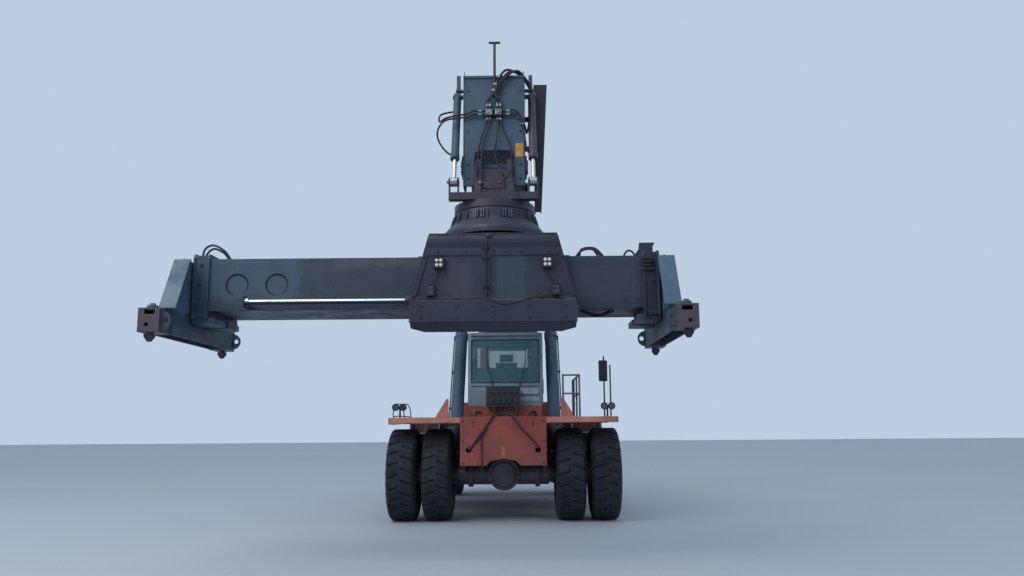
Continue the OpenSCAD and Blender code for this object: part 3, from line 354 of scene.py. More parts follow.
# One material for each slot of the record
MATERIALS = {
    "chassis_paint": painted("chassis_paint", *ORANGE, mud=0.85, grime=0.45),
    "boom_paint": painted("boom_paint", *TEAL),
    "cab_paint": painted("cab_paint", (102, 118, 132), (128, 142, 154), (64, 72, 82), (84, 76, 78),
                         wear=0.35),
    "head_paint": painted("head_paint", (28, 34, 53), (40, 46, 62), (20, 23, 36), (76, 74, 80), wear=0.4),
    "yoke_paint": painted("yoke_paint", (38, 38, 54), (52, 44, 58), (24, 26, 38), (86, 60, 60), wear=0.5),
    # The rods' chrome: faces that look down take a grey painted reflection of the ground.
    "rod_chrome": chrome("rod_chrome", (150, 158, 168)),
    "tyre_rubber": rubber("tyre_rubber", (21, 25, 34), (46, 49, 58)),
    "glass": glass(),
    "black_steel": painted("black_steel", (20, 24, 34), (31, 36, 46), (40, 43, 50), (70, 68, 70), wear=0.4),
    "engine_iron": painted("engine_iron", (90, 94, 98), (110, 112, 114), (50, 50, 50), (70, 60, 56)),
    "walk_plate": tread_plate(),
    "cab_trim": plain("cab_trim", (32, 34, 38), (46, 48, 52), rough=0.55),
    "lamp": plain("lamp", (150, 152, 150), (186, 186, 182), rough=0.35, metal=0.5),
}


# Places whose tone is changed, in metres in the row frame
GREASED = (("X", -1.5, 3.4), ("Z", 3.0, 3.63))
SCUFFED = (("X", -1.1, 0.0), ("Z", 3.5, 3.6))
BEAM_FOOT = (("X", -3.0, 3.4), ("Z", 2.95, 3.12))
BEAM_RIGHT = (("X", 1.7, 2.5), ("Z", 3.1, 3.5))
DOOR_GREEN = (("X", 0.81, 1.18), ("Z", 3.08, 3.58))
DOOR_BROWN = (("X", 0.28, 0.55), ("Z", 3.1, 3.5))
ARM_FOOT = ("Z", 2.6, 2.95)
CORNERS = [(("X", x, x + 0.35), ("Y", y, y + 0.45), ARM_FOOT) for x in (-3.15, 2.8) for y in (-7.2, -4.93)]
CROSS_BARS = [(("X", x, x + 0.55), ("Y", -7.1, -4.93), ARM_FOOT) for x in (-3.15, 2.6)]
# Painted shade: the fenders' parts below 1.68 m and the tanks' front faces, which lie in the shade under the
# fenders.
FENDER_SHADE_BELOW = (("Z", 0.0, 1.68),)
TANK_FRONT_SHADE = (("Y", 0.0, 1.4),)
COLLAR_RIGHT = (("X", 2.53, 3.0),)

# Materials of single nodes and of the pieces drawn here
BEAM = painted("beam_paint", (43, 61, 80), (58, 79, 99), (30, 36, 52), (86, 84, 90), patches=[
    (GREASED, (38, 46, 61), 0.8), (SCUFFED, (78, 76, 86), 0.55), (BEAM_FOOT, (32, 38, 54), 0.65),
    (BEAM_RIGHT, (52, 58, 70), 0.6), (COLLAR_RIGHT, (27, 33, 48), 0.85)])
TROLLEY = painted("trolley_paint", (26, 32, 50), (36, 42, 60), (19, 22, 36), (72, 72, 82), wear=0.4, patches=[
    (DOOR_GREEN, (42, 60, 70), 0.8), (DOOR_BROWN, (54, 56, 68), 0.75)])
ARM_MARKS = [(box, (42, 52, 66), 0.75) for box in CROSS_BARS]
ARM_MARKS += [(box, (82, 62, 68), 0.85) for box in CORNERS]
ARM = painted("arm_paint", (60, 86, 105), (80, 110, 128), (38, 46, 58), (98, 78, 78), wear=0.7,
    patches=ARM_MARKS)
# The fender paint is painted dark below 1.68 m as the shade under the fenders.
FENDER = painted("fender_paint", (178, 108, 94), (198, 136, 118), (108, 66, 60), (78, 58, 56), wear=0.5,
    dust=0.1, patches=[(FENDER_SHADE_BELOW, (34, 32, 40), 0.9)])
AXLE = painted("axle_paint", (58, 61, 69), (78, 68, 72), (34, 37, 45), (54, 52, 57), mud=0.3, grime=0.7)
RIM = painted("rim_paint", (112, 50, 46), (134, 72, 64), (54, 44, 48), (52, 44, 48), mud=0.7)
WEIGHT = painted("weight_paint", *ORANGE, mud=0.5, grime=0.35)
# The tanks' front faces are painted dark as the shade under the fenders.
TANK = painted("tank_paint", *ORANGE, mud=0.85, grime=0.45, patches=[(TANK_FRONT_SHADE, (32, 32, 40), 0.92)])
BROWN_BARREL = painted("brown_barrel", (50, 46, 60), (64, 58, 72), (32, 32, 44), (86, 82, 90))
YOKE_RED = painted("yoke_red", (76, 34, 44), (94, 46, 52), (34, 28, 38), (110, 88, 88), wear=0.5)
TAB = plain("tab_steel", (96, 102, 116), (70, 76, 90), rough=0.5, metal=0.3)
PALE_PLATE = plain("pale_plate", (150, 164, 174), (128, 142, 152), rough=0.4)
LAMP_CASE = plain("lamp_case", (30, 33, 42), (44, 46, 54), rough=0.5)
# The shift rod's chrome: faces that look down take a dark painted reflection of the ground.
SHIFT_CHROME = chrome("shift_chrome", (44, 54, 74))
NODE_MATERIALS = {
    "main_beam": BEAM, "trolley": TROLLEY, "arm_left": ARM, "arm_right": ARM, "front_fenders": FENDER,
    "drive_axle": AXLE, "steer_axle": AXLE, "rims_front_left": RIM, "rims_front_right": RIM,
    "rim_rear_left": RIM, "rim_rear_right": RIM, "counterweight": WEIGHT,
    "damper_barrel_right": BROWN_BARREL, "trolley_lamps": LAMP_CASE, "shift_rod": SHIFT_CHROME,
    "side_tanks": TANK,
}

HOSE = rubber("hose_rubber", (22, 24, 29), (44, 45, 48), rough=0.5, grip=0.15)
BRIGHT = plain("bright_steel", (160, 166, 174), (116, 120, 126), rough=0.34, metal=0.8)
BOLT = plain("bolt_steel", (70, 74, 84), (50, 52, 60), rough=0.5, metal=0.5)
DARK = plain("dark_steel", (25, 29, 38), (38, 41, 50), rough=0.55, metal=0.2)
SEAT = plain("seat_cloth", (38, 40, 46), (54, 56, 62), rough=0.85, scale=30, grain=0.6, fine=420)
YELLOW = plain("yellow_vinyl", (204, 152, 58), (176, 124, 46), rough=0.45, scale=14)
FADED = plain("faded_vinyl", (164, 126, 82), (128, 98, 72), rough=0.55, scale=20)
AMBER = lens("amber_lens", (196, 96, 20), (230, 136, 40), 0.12)
RED = lens("red_lens", (136, 20, 20), (190, 40, 34), 0.12)
# The upper trolley lamps' LED lens: its bright tone and glow are a painted glint.
CLEAR_GLINT = lens("clear_glint_lens", (150, 154, 156), (206, 210, 208), 0.22)
DULL = lens("dull_lens", (58, 64, 76), (92, 98, 110), 0.0)
MIRROR = plain("mirror_glass", (170, 178, 186), (150, 158, 166), rough=0.04, metal=1.0, grain=0.0)
CORE = plain("radiator_core", (36, 38, 40), (54, 54, 54), rough=0.6, metal=0.4)


class Piece:
    """One mesh drawn in millimetres about an origin, then given its materials and, without blend, put on a
    body.
    """

    def __init__(self, origin=MACHINE, turn=0.0):
        self.mesh = bmesh.new()
        self.frame = Matrix.Translation(origin) @ Matrix.Rotation(turn, 4, "X") @ Matrix.Scale(0.001, 4)
        self.finish_index = 0

    def face(self, corners):
        try:
            self.mesh.faces.new(corners).material_index = self.finish_index
        except ValueError:
            pass

    def skin(self, rings, closed=False, caps=True, around=True):
        """Joins rings of points, each with as many points, into one surface."""
        rows = [[self.mesh.verts.new(p) for p in ring] for ring in rings]
        count = len(rows[0])
        for a, b in list(zip(rows, rows[1:])) + ([(rows[-1], rows[0])] if closed else []):
            for i in range(count if around else count - 1):
                j = (i + 1) % count
                self.face((a[i], a[j], b[j], b[i]))
        if caps and not closed:
            self.face(tuple(reversed(rows[0])))
            self.face(tuple(rows[-1]))

    def tube(self, points, radius, sides=10, steps=6):
        """A hose along a smooth curve through the points."""
        path = smooth_path(points, steps)
        side = (path[1] - path[0]).orthogonal()
        rings = []
        for i, p in enumerate(path):
            ahead = (path[min(i + 1, len(path) - 1)] - path[max(i - 1, 0)]).normalized()
            side = (side - ahead * side.dot(ahead)).normalized()
            rings.append(circle(p, side, ahead.cross(side), radius, sides))
        self.skin(rings)

    def rod(self, a, b, radius, sides=20, top=None, edge=0.0):
        """A round bar or cone from a to b, with its rims rounded by edge."""
        a, b = Vector(a), Vector(b)
        length = (b - a).length
        ahead = (b - a).normalized()
        side = ahead.orthogonal().normalized()
        top = radius if top is None else top
        stations = [(0, radius - edge), (edge, radius), (length - edge, top), (length, top - edge)]
        if not edge:
            stations = stations[1:3]
        self.skin([circle(a + ahead * along, side, ahead.cross(side), r, sides) for along, r in stations])

    def hexes(self, spots, axis, across=24, height=14, washer=True):
        """Hexagon heads on washers at the spots, all facing along the axis."""
        axis = Vector(axis).normalized()
        for spot in spots:
            base = Vector(spot)
            if washer:
                self.rod(base, base + axis * 3, across * 0.62, 16)
                base = base + axis * 3
            self.rod(base, base + axis * height, across / 2, 6, edge=1.5)

    def box(self, low, high, edge=0.0):
        """A box between two corners whose edges are rounded by edge."""
        low, high = Vector(low), Vector(high)
        levels = [(low.z, edge), (low.z + edge, 0.0), (high.z - edge, 0.0), (high.z, edge)]
        if not edge:
            levels = levels[1:3]
        rings = []
        for z, inset in levels:
            r = inset + edge
            corners = ((high.x - r, high.y - r, 0), (low.x + r, high.y - r, 90),
                (low.x + r, low.y + r, 180), (high.x - r, low.y + r, 270))
            ring = []
            for x, y, start in corners:
                for turn in (0, 30, 60, 90) if edge else (0,):
                    a = math.radians(start + turn)
                    ring.append((x + edge * math.cos(a), y + edge * math.sin(a), z))
            rings.append(ring)
        self.skin(rings)

    def revolve(self, profile, centre, segments=48, axis="X", closed=False):
        """Turns a profile of (distance along the axis, radius) about an axis through the centre."""
        turns = [2 * math.pi * k / segments for k in range(segments)]
        rings = [[Vector(centre) + turned(along, r, a, axis) for along, r in profile] for a in turns]
        self.skin(rings, closed=True, around=closed)

    def finish(self, name, body, slot, materials=None, angle=35, blend=None):
        """Makes the mesh on its body; with blend it stays in place on no body, and blend's bodies and points
        are not used. Without materials it takes its slot's own.
        """
        bmesh.ops.transform(self.mesh, matrix=self.frame, verts=self.mesh.verts)
        loose = [v for v in self.mesh.verts if not v.link_faces]
        bmesh.ops.delete(self.mesh, geom=loose, context="VERTS")
        bmesh.ops.recalc_face_normals(self.mesh, faces=self.mesh.faces)
        data = bpy.data.meshes.new(name)
        self.mesh.to_mesh(data)
        self.mesh.free()
        for polygon in data.polygons:
            polygon.use_smooth = True
        data.set_sharp_from_angle(angle=math.radians(angle))
        made = placed(name, data)
        for material in materials if isinstance(materials, list) else [materials or MATERIALS[slot]]:
            data.materials.append(material)
        if blend:
            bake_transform(made)
        else:
            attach(made, body)
        return made


def circle(centre, side, up, r, count):
    """Points on a circle in the plane of two directions."""
    turns = [2 * math.pi * k / count for k in range(count)]
    return [centre + (side * math.cos(a) + up * math.sin(a)) * r for a in turns]


def turned(along, r, a, axis):
    """A point at a distance along an axis, and at a radius and an angle about it."""
    u, v = r * math.cos(a), r * math.sin(a)
    return Vector({"X": (along, u, v), "Y": (v, along, u), "Z": (u, v, along)}[axis])


def smooth_path(points, steps):
    """Points on a smooth curve through the given ones."""
    p = [Vector(q) for q in points]
    p = [p[0] * 2 - p[1]] + p + [p[-1] * 2 - p[-2]]
    path = []
    for i in range(1, len(p) - 2):
        for k in range(steps):
            t = k / steps
            path.append(0.5 * ((2 * p[i]) + (p[i + 1] - p[i - 1]) * t
                + (2 * p[i - 1] - 5 * p[i] + 4 * p[i + 1] - p[i + 2]) * t * t
                + (3 * p[i] - p[i - 1] - 3 * p[i + 1] + p[i + 2]) * t ** 3))
    path.append(p[-2])
    return path


def ring_spots(centre, radius, count, axis="X"):
    """Evenly spaced places on a circle about an axis through the centre."""
    return [Vector(centre) + turned(0, radius, 2 * math.pi * k / count, axis) for k in range(count)]


def add_hoses(name, body, origin, runs, blend=None):
    """Rubber hoses as one piece, each given by its radius and its points."""
    hoses = Piece(origin)
    for radius, points in runs:
        hoses.tube(points, radius)
    hoses.finish(name, body, "tyre_rubber", HOSE, blend=blend)


# Tyres: a carcass with two staggered rows of slanted lugs
LUGS = 24
GROOVE = 40
HALF_CARCASS = [(170, 318), (200, 322), (222, 345), (246, 430), (258, 520), (262, 590), (252, 668),
    (238, 706), (222, 742), (196, 768), (100, 774)]
CARCASS = [(-x, r) for x, r in HALF_CARCASS] + [(0, 775)] + HALF_CARCASS[::-1]
LUG_TOP = [(-16, TYRE_R - 0.5), (60, TYRE_R - 0.5), (130, TYRE_R - 1), (192, TYRE_R - 2),
    (222, TYRE_R - 24), (242, TYRE_R - 62), (254, TYRE_R - 112), (259, TYRE_R - 140)]
LUG_HALF = [0.104, 0.098, 0.092, 0.09, 0.088, 0.084, 0.074, 0.056]
LUG_SLANT = [-0.02, 0.012, 0.045, 0.075, 0.085, 0.09, 0.092, 0.092]


def add_tyre(piece, x, y, phase):
    centre = Vector((x, y, TYRE_R))
    piece.revolve(CARCASS, centre, segments=96)
    for side in (-1, 1):
        for lug in range(LUGS):
            middle = 2 * math.pi * (lug + (0.5 if side > 0 else 0.0)) / LUGS + phase
            rings = []
            for (along, r), half, slant in zip(LUG_TOP, LUG_HALF, LUG_SLANT):
                foot = r - (GROOVE if r > TYRE_R - 40 else GROOVE * 0.8)
                ring = [(along, r, part) for part in (-0.93, -0.5, 0.0, 0.5, 0.93)]
                ring = [(along, r - 5, -1.0)] + ring + [(along, r - 5, 1.0)]
                ring += [(min(along, 234), foot, part) for part in (1.12, -1.12)]
                rings.append([centre + turned(side * out, height, middle + slant + half * part, "X")
                    for out, height, part in ring])
            piece.skin(rings)
    for side in (-1, 1):
        for r, out in ((470, 255.5), (610, 262.5)):
            rib = ((-6, -9), (1.5, -4), (1.5, 4), (-6, 9))
            piece.revolve([(side * (out + a), r + b) for a, b in rib], centre, segments=96)


def add_tyres():
    for name, side in SIDES:
        twin = Piece()
        add_tyre(twin, side * FRONT_TYRES[0], 0, 0.05 * side)
        add_tyre(twin, side * FRONT_TYRES[1], 0, 0.16 * side)
        single = Piece()
        add_tyre(single, side * REAR_TYRE, REAR_AXLE, 0.1)
        for piece, many, end in ((twin, "s", "_front_"), (single, "", "_rear_")):
            made = piece.finish("tread" + end + name, "wheel" + many + end + name, "tyre_rubber", angle=30)
            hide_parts("tyre" + many + end + name)


def add_wheel_fittings():
    """Hub covers, wheel nuts and valves."""
    for name, side in SIDES:
        hub = Piece()
        face = side * (FRONT_TYRES[1] + 240)
        rim = side * (FRONT_TYRES[1] + 88)
        hub.hexes(ring_spots((face, 0, TYRE_R), 128, 12), (side, 0, 0), 30, 16)
        cover = ((-2, 96), (10, 96), (16, 88), (16, 30), (20, 24), (20, 1))
        hub.revolve([(face + side * out, r) for out, r in cover], (0, 0, TYRE_R), 40)
        hub.tube([(rim + side * out, 0, TYRE_R + z) for out, z in ((0, 290), (30, 292), (60, 270))], 6, 8)
        hub.hexes(ring_spots((rim + side * 32, 0, TYRE_R), 235, 10), (side, 0, 0), 44, 16)
        hub.finish("hub_bolts_front_" + name, "wheels_front_" + name, "chassis_paint", RIM)
        hub = Piece()
        face = side * (REAR_TYRE + 180)
        hub.hexes(ring_spots((face, REAR_AXLE, TYRE_R), 112, 8), (side, 0, 0), 28, 14)
        cover = ((-2, 84), (12, 84), (18, 74), (18, 1))
        hub.revolve([(face + side * out, r) for out, r in cover], (0, REAR_AXLE, TYRE_R), 40)
        hub.hexes(ring_spots((side * (REAR_TYRE + 120), REAR_AXLE, TYRE_R), 215, 10), (side, 0, 0), 42, 14)
        hub.finish("hub_bolts_rear_" + name, "wheel_rear_" + name, "chassis_paint", RIM)


def hose_end(piece, point, axis, r):
    """A crimped sleeve and a hexagon nut where a hose screws in. The axis points out of the port."""
    p, axis = Vector(point), Vector(axis).normalized()
    piece.rod(p, p + axis * 14, r * 1.5, 6, edge=1)
    piece.rod(p + axis * 14, p + axis * 50, r * 1.28, 16, edge=2)


def add_head_hoses():
    """The hoses on the boom's head, from the manifold to the dampers, the yoke and the boom's back."""
    ends = Piece(TILT_PIN)
    runs = [
        (15, [(0, -215, 890), (40, -225, 1050), (150, -150, 1236), (300, 20, 1262), (420, 110, 1180),
              (500, 180, 1080)]),
        (15, [(20, -215, 880), (130, -222, 1090), (290, -170, 1215), (400, 20, 1190), (470, 130, 1120),
              (520, 190, 1040)]),
        (15, [(-8, -222, 870), (60, -232, 1010), (180, -200, 1180), (310, -60, 1240), (430, 90, 1130),
              (520, 170, 990)])]
    for radius, path in runs:
        hose_end(ends, path[-1], Vector(path[-2]) - Vector(path[-1]), radius)
    for x in (-85, -50, 45, 80):
        runs.append((12, [(x, PORT_Y, 740), (x * 1.02, -212, 790), (x * 0.55, -222, 850),
            (x * 0.12, -226, 905)]))
        hose_end(ends, (x, PORT_Y, 738), UP, 12)
        ends.rod((x, PORT_Y, 560), (x, PORT_Y, 575), 19, 6, edge=1)
    for z in (630, 675):
        for s in (-1, 1):
            hose_end(ends, (s * 148, PORT_Y, z), (s, 0, 0), 12)
    runs += [
        (12, [(198, PORT_Y, 675), (250, -206, 684), (310, -200, 640), (352, -190, 560), (388, -160, 480),
              (404, -60, 430)]),
        (12, [(198, PORT_Y, 630), (262, PORT_Y, 636), (318, -198, 590), (356, -190, 500), (378, -184, 380),
              (390, -178, 280)])]
    for x, z in ((60, 1110), (-8, 930), (18, 1010)):
        ends.rod((x - 22, -234, z), (x + 22, -234, z + 6), 20, 12, edge=2)
    for x, z in ((352, 508), (318, 590)):
        ends.box((x - 22, -204, z - 10), (x + 22, -158, z + 10), 3)
    for x0, x1 in ((-100, -22), (18, 94)):
        middle = (x0 + x1) / 2
        ends.box((x0, -238, 616), (x1, -229, 690), 3)
        ends.hexes([(x, -238, z) for x in (x0 + 14, x1 - 14) for z in (630, 676)], FRONT, 16, 7,
            washer=False)
        ends.rod((middle, -238, 653), (middle, -256, 653), 17, 6, edge=2)
    add_hoses("head_hoses", "boom_inner", TILT_PIN, runs)
    ends.finish("head_hose_ends", "boom_inner", "rod_chrome", BRIGHT)
    left = [
        [(-198, PORT_Y, 675), (-260, -206, 678), (-344, -198, 640), (-470, -190, 624), (-600, -180, 596),
         (-676, -150, 560), (-700, -40, 640), (-690, 90, 740), (-620, 175, 800), (-500, 180, 822)],
        [(-198, PORT_Y, 630), (-262, -208, 632), (-344, -202, 596), (-470, -192, 588), (-610, -186, 560),
         (-690, -178, 470), (-706, -166, 360), (-660, -142, 250), (-580, -126, 160), (-498, -124, 120)]]
    right = [
        [(404, -60, 430), (420, 60, 500), (440, 140, 640), (452, 190, 740), (466, 190, 800)],
        [(390, -178, 280), (404, -172, 200), (432, -155, 145), (470, -132, 112)]]
    for (name, side), paths in zip(SIDES, (left, right)):
        for number, path in enumerate(paths, 1):
            start, end = (TILT_PIN + Vector(path[i]) / 1000 for i in (-4, -1))
            add_hoses("damper_hose_%s_%d" % (name, number), "boom_inner", TILT_PIN, [(12, path)],
                blend=("damper_barrel_" + name, start, end))
        nuts = Piece(TILT_PIN)
        for y, z in ((157, 823), (-139, 124)):
            nuts.rod((side * 480, y - 16, z + 8), (side * 480, y + 14, z - 6), 24, 6, edge=2)
        nuts.finish("damper_ports_" + name, "damper_barrel_" + name, "rod_chrome", BRIGHT)


def add_yoke_hoses():
    """Hoses that hang from the head down to the rotator."""
    paths = [
        [(-50, PORT_Y, 560), (-70, -214, 460), (-120, -216, 300), (-150, -214, 120), (-160, -225, -40),
         (-150, -232, -170)],
        [(45, PORT_Y, 560), (48, -214, 440), (30, -216, 300), (10, -200, 120), (60, -190, -40),
         (110, -226, -160)],
        [(-85, PORT_Y, 560), (-118, -214, 430), (-168, -216, 280), (-196, -214, 120), (-214, -220, -60),
         (-205, -236, -300), (-190, -300, -430)],
        [(80, PORT_Y, 560), (120, -214, 420), (190, -214, 260), (216, -206, 100), (224, -214, -80),
         (214, -236, -300), (196, -300, -430)]]
    start, end = (TILT_PIN + Vector((0, -0.2, z)) for z in (0.3, -0.16))
    for number, path in enumerate(paths, 1):
        add_hoses("yoke_hose_%d" % number, "boom_inner", TILT_PIN, [(11, path)],
            blend=("tilt_yoke", start, end))


def add_head_plates():
    """Weld beads, bolts and the blank yellow label on the boom's head."""
    label = Piece(TILT_PIN)
    label.box((265, HEAD_FACE - 3, 92), (362, HEAD_FACE + 1, 266), 1)
    label.finish("head_label", "boom_inner", "boom_paint", YELLOW)
    rim = Piece(TILT_PIN)
    for x in (-372, 372):
        rim.tube([(x, HEAD_FACE - 1, z) for z in (-270, 500, HEAD_TOP - 60)], 6, 8, 2)
    half = [(250, -270), (250, 60), (247, 110), (228, 152), (180, 178)]
    arch = [(-x, z) for x, z in half] + [(0, 181)] + half[::-1]
    rim.tube([(x, HEAD_FACE - 1, z) for x, z in arch], 7, 8, 3)
    rim.hexes([(x, HEAD_FACE, z) for x in (-325, 325) for z in (-180, 0, 430, 960)], FRONT, 26, 12)
    for s in (-1, 1):
        rim.hexes(ring_spots((s * 415, 0, 0), 72, 6), (s, 0, 0), 20, 8, washer=False)
    rim.finish("head_trim", "boom_inner", "boom_paint")


def reshape(node_name, name, body, origin, moved):
    """A node's copy whose points, in metres from an origin, are moved by a function, in the node's place."""
    node = NODES[node_name]
    made = placed(name, node.data.copy())
    made.matrix_world = node.matrix_world
    back = node.matrix_world.inverted()
    for vertex in made.data.vertices:
        vertex.co = back @ (origin + moved(node.matrix_world @ vertex.co - origin))
    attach(made, body)
    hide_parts(node_name)


def raise_back(p):
    """Lifts the trolley's underside towards its back."""
    low = min(max((-1.9 - p.z) / 0.2, 0.0), 1.0)
    behind = min(max((p.y + 0.695) / 1.39, 0.0), 1.0)
    return p + Vector((0, 0, 0.165 * low * behind))


def lean_in(p):
    """Leans the gusset plates on the fenders towards the lift cylinders."""
    side = 1 if p.x > 0 else -1
    if p.z > 2.15:
        return Vector((side * (1.14 if abs(p.x) > 1.3 else 1.1), p.y, p.z))
    if p.z > 2.1 and abs(p.x) > 1.3:
        return Vector((p.x, p.y, 1.84))
    return p


def add_reshaped():
    reshape("trolley", "trolley_body", "trolley", TILT_PIN, raise_back)
    reshape("front_fenders", "fender_body", "chassis", MACHINE, lean_in)


def add_trolley_trim():
    """Lamp lenses, cables, clamps, bolts and beads on the trolley, drawn from its front face."""
    leds = Piece(TROLLEY_FRONT)
    cases = Piece(TROLLEY_FRONT)
    # The upper lamps' LEDs take the lens with a painted glint, the lower ones the dull lens.
    for index, (x, z, w, h) in enumerate(((620, -1360, 95, 110), (715, -1675, 70, 110))):
        leds.finish_index = index
        wide, high = w / 2 + 14, h / 2 + 14
        for s in (-1, 1):
            for u in (-0.25, 0.25):
                for v in (-0.25, 0.25):
                    spot = (s * x + u * w, -44, z + v * h)
                    leds.rod(spot, (spot[0], -54, spot[2]), min(w, h) * 0.2, 20, edge=3)
            for y in (-24, -32, -40, -48):
                cases.box((s * x - wide, y - 2, z - high), (s * x + wide, y + 1, z + high))
            cases.box((s * x - 14, -40, z + high - 8), (s * x + 14, -1, z + high + 10), 3)
    leds.finish("trolley_lenses", "trolley", "lamp", [CLEAR_GLINT, DULL])
    cases.finish("lamp_fins", "trolley", "lamp", LAMP_CASE)
    cables = [
        (8, [(-985, LEDGE - 6, -1800), (-860, -20, -1783), (-696, -22, -1785), (-420, -24, -1783),
             (-145, -26, -1778), (0, LEDGE - 8, -1800), (114, LEDGE - 12, -1842), (250, LEDGE - 10, -1826),
             (400, -40, -1784), (642, -18, -1744), (800, -24, -1782)]),
        (11, [(-80, -14, -1060), (-80, -24, -1160), (-84, -14, -1300), (-80, -14, -1560), (-82, -16, -1780)])]
    for s in (-1, 1):
        cables.append((6, [(s * 620, -8, -1424), (s * 632, -10, -1500), (s * 690, -12, -1580),
            (s * 712, -10, -1612)]))
        cables.append((6, [(s * 715, -8, -1740), (s * 700, -16, -1780)]))
    add_hoses("trolley_cables", "trolley", TROLLEY_FRONT, cables)
    clamps = Piece(TROLLEY_FRONT)
    for z in (-1190, -1310, -1640):
        clamps.box((-118, -30, z - 14), (-42, -1, z + 14), 4)
        clamps.hexes([(-106, -30, z), (-54, -30, z)], FRONT, 12, 6, washer=False)
    for x, z in ((-890, -1783), (-420, -1783), (560, -1766)):
        clamps.box((x - 12, -34, z - 12), (x + 12, -1, z + 12), 4)
    clamps.finish("trolley_clamps", "trolley", "black_steel", DARK)
    trim = Piece(TROLLEY_FRONT)
    behind = -2 * TROLLEY_FACE
    along = (-820, -410, 0, 410, 820)
    for face, ledge, out in ((0, LEDGE, FRONT), (behind, behind - LEDGE, BACK)):
        for z in (-1282, -1738):
            reach = 792 + 128 * (-1270 - z) / 480
            trim.hexes([(s * reach, face, z) for s in (-1, 1)], out, 28, 12)
        trim.hexes([(x, face, -1225) for x in (-640, -320, 0, 320, 640)], out, 22, 10)
        trim.hexes([(x, ledge, -1860) for x in along], out, 24, 12)
    trim.hexes([(x, LEDGE, -1990) for x in along], FRONT, 24, 12)
    trim.tube([(x, LEDGE - 2, -2036) for x in (-960, 0, 960)], 7, 8, 2)
    trim.tube([(x, -2, -1020) for x in (-740, 0, 740)], 8, 8, 2)
    for s in (-1, 1):
        trim.tube([(s * 742, 2, -1036), (s * 840, 2, -1404), (s * 936, 2, -1768)], 7, 8, 2)
        for y in (-560, -280, 280, 560):
            trim.hexes([(s * 842, y - TROLLEY_FACE, -1404)], (s, 0, 0.27), 26, 12)
    trim.finish("trolley_trim", "trolley", "head_paint")


def add_rotator_trim():
    """The ring of bolts and the bright tabs on the rotator."""
    ring = Piece(TILT_PIN)
    ring.hexes(ring_spots((0, 0, -530), 478, 36, "Z"), UP, 22, 12)
    ring.finish("rotator_bolts", "tilt_yoke", "yoke_paint", BOLT)
    tabs = Piece(TILT_PIN)
    for a in (-112, -104, -76, -68):
        out = turned(0, 1, math.radians(a), "Z")
        across = Vector((-out.y, out.x, 0))
        for s in (-1, 1):
            p = out * 512 + across * (s * 13)
            tabs.skin([[p + across * u + Vector((0, 0, z)) + out * o
                for u, o in ((-4, 0), (4, 0), (4, d), (-4, d))]
                for z, d in ((-650, 14), (-700, 30), (-760, 44))])
    tabs.finish("rotator_tabs", "tilt_yoke", "yoke_paint", TAB)


def add_yoke_trim():
    """Damper pins, weld beads and the cover on the yoke."""
    trim = Piece(TILT_PIN)
    for s in (-1, 1):
        for x0, x1 in ((424, 414), (536, 546)):
            trim.rod((s * x0, -400, -300), (s * x1, -400, -300), 30, 20, edge=3)
        trim.hexes([(s * 546, -400, -300)], (s, 0, 0), 34, 14)
        trim.rod((s * 424, -400, -300), (s * 536, -400, -300), 22, 20)
        trim.tube([(s * 240, y, -436) for y in (-300, 0, 296)], 8, 8, 2)
    trim.finish("yoke_pins", "tilt_yoke", "yoke_paint", BOLT)
    plate = Piece(TILT_PIN)
    plate.box((-130, -213, -330), (130, -204, -200), 3)
    plate.hexes([(x, -213, z) for x in (-112, 112) for z in (-312, -218)], FRONT, 22, 10)
    plate.rod((176, -215, -262), (176, -244, -262), 30, 24, edge=5)
    plate.finish_index = 1
    plate.rod((-176, -215, -262), (-176, -250, -262), 34, 24, edge=5)
    plate.box((40, -217, -262), (118, -211, -222), 2)
    plate.finish_index = 2
    plate.rod((-176, -250, -262), (-176, -262, -262), 16, 6, edge=2)
    plate.finish("yoke_cover", "tilt_yoke", "yoke_paint", [MATERIALS["yoke_paint"], YOKE_RED, BRIGHT])


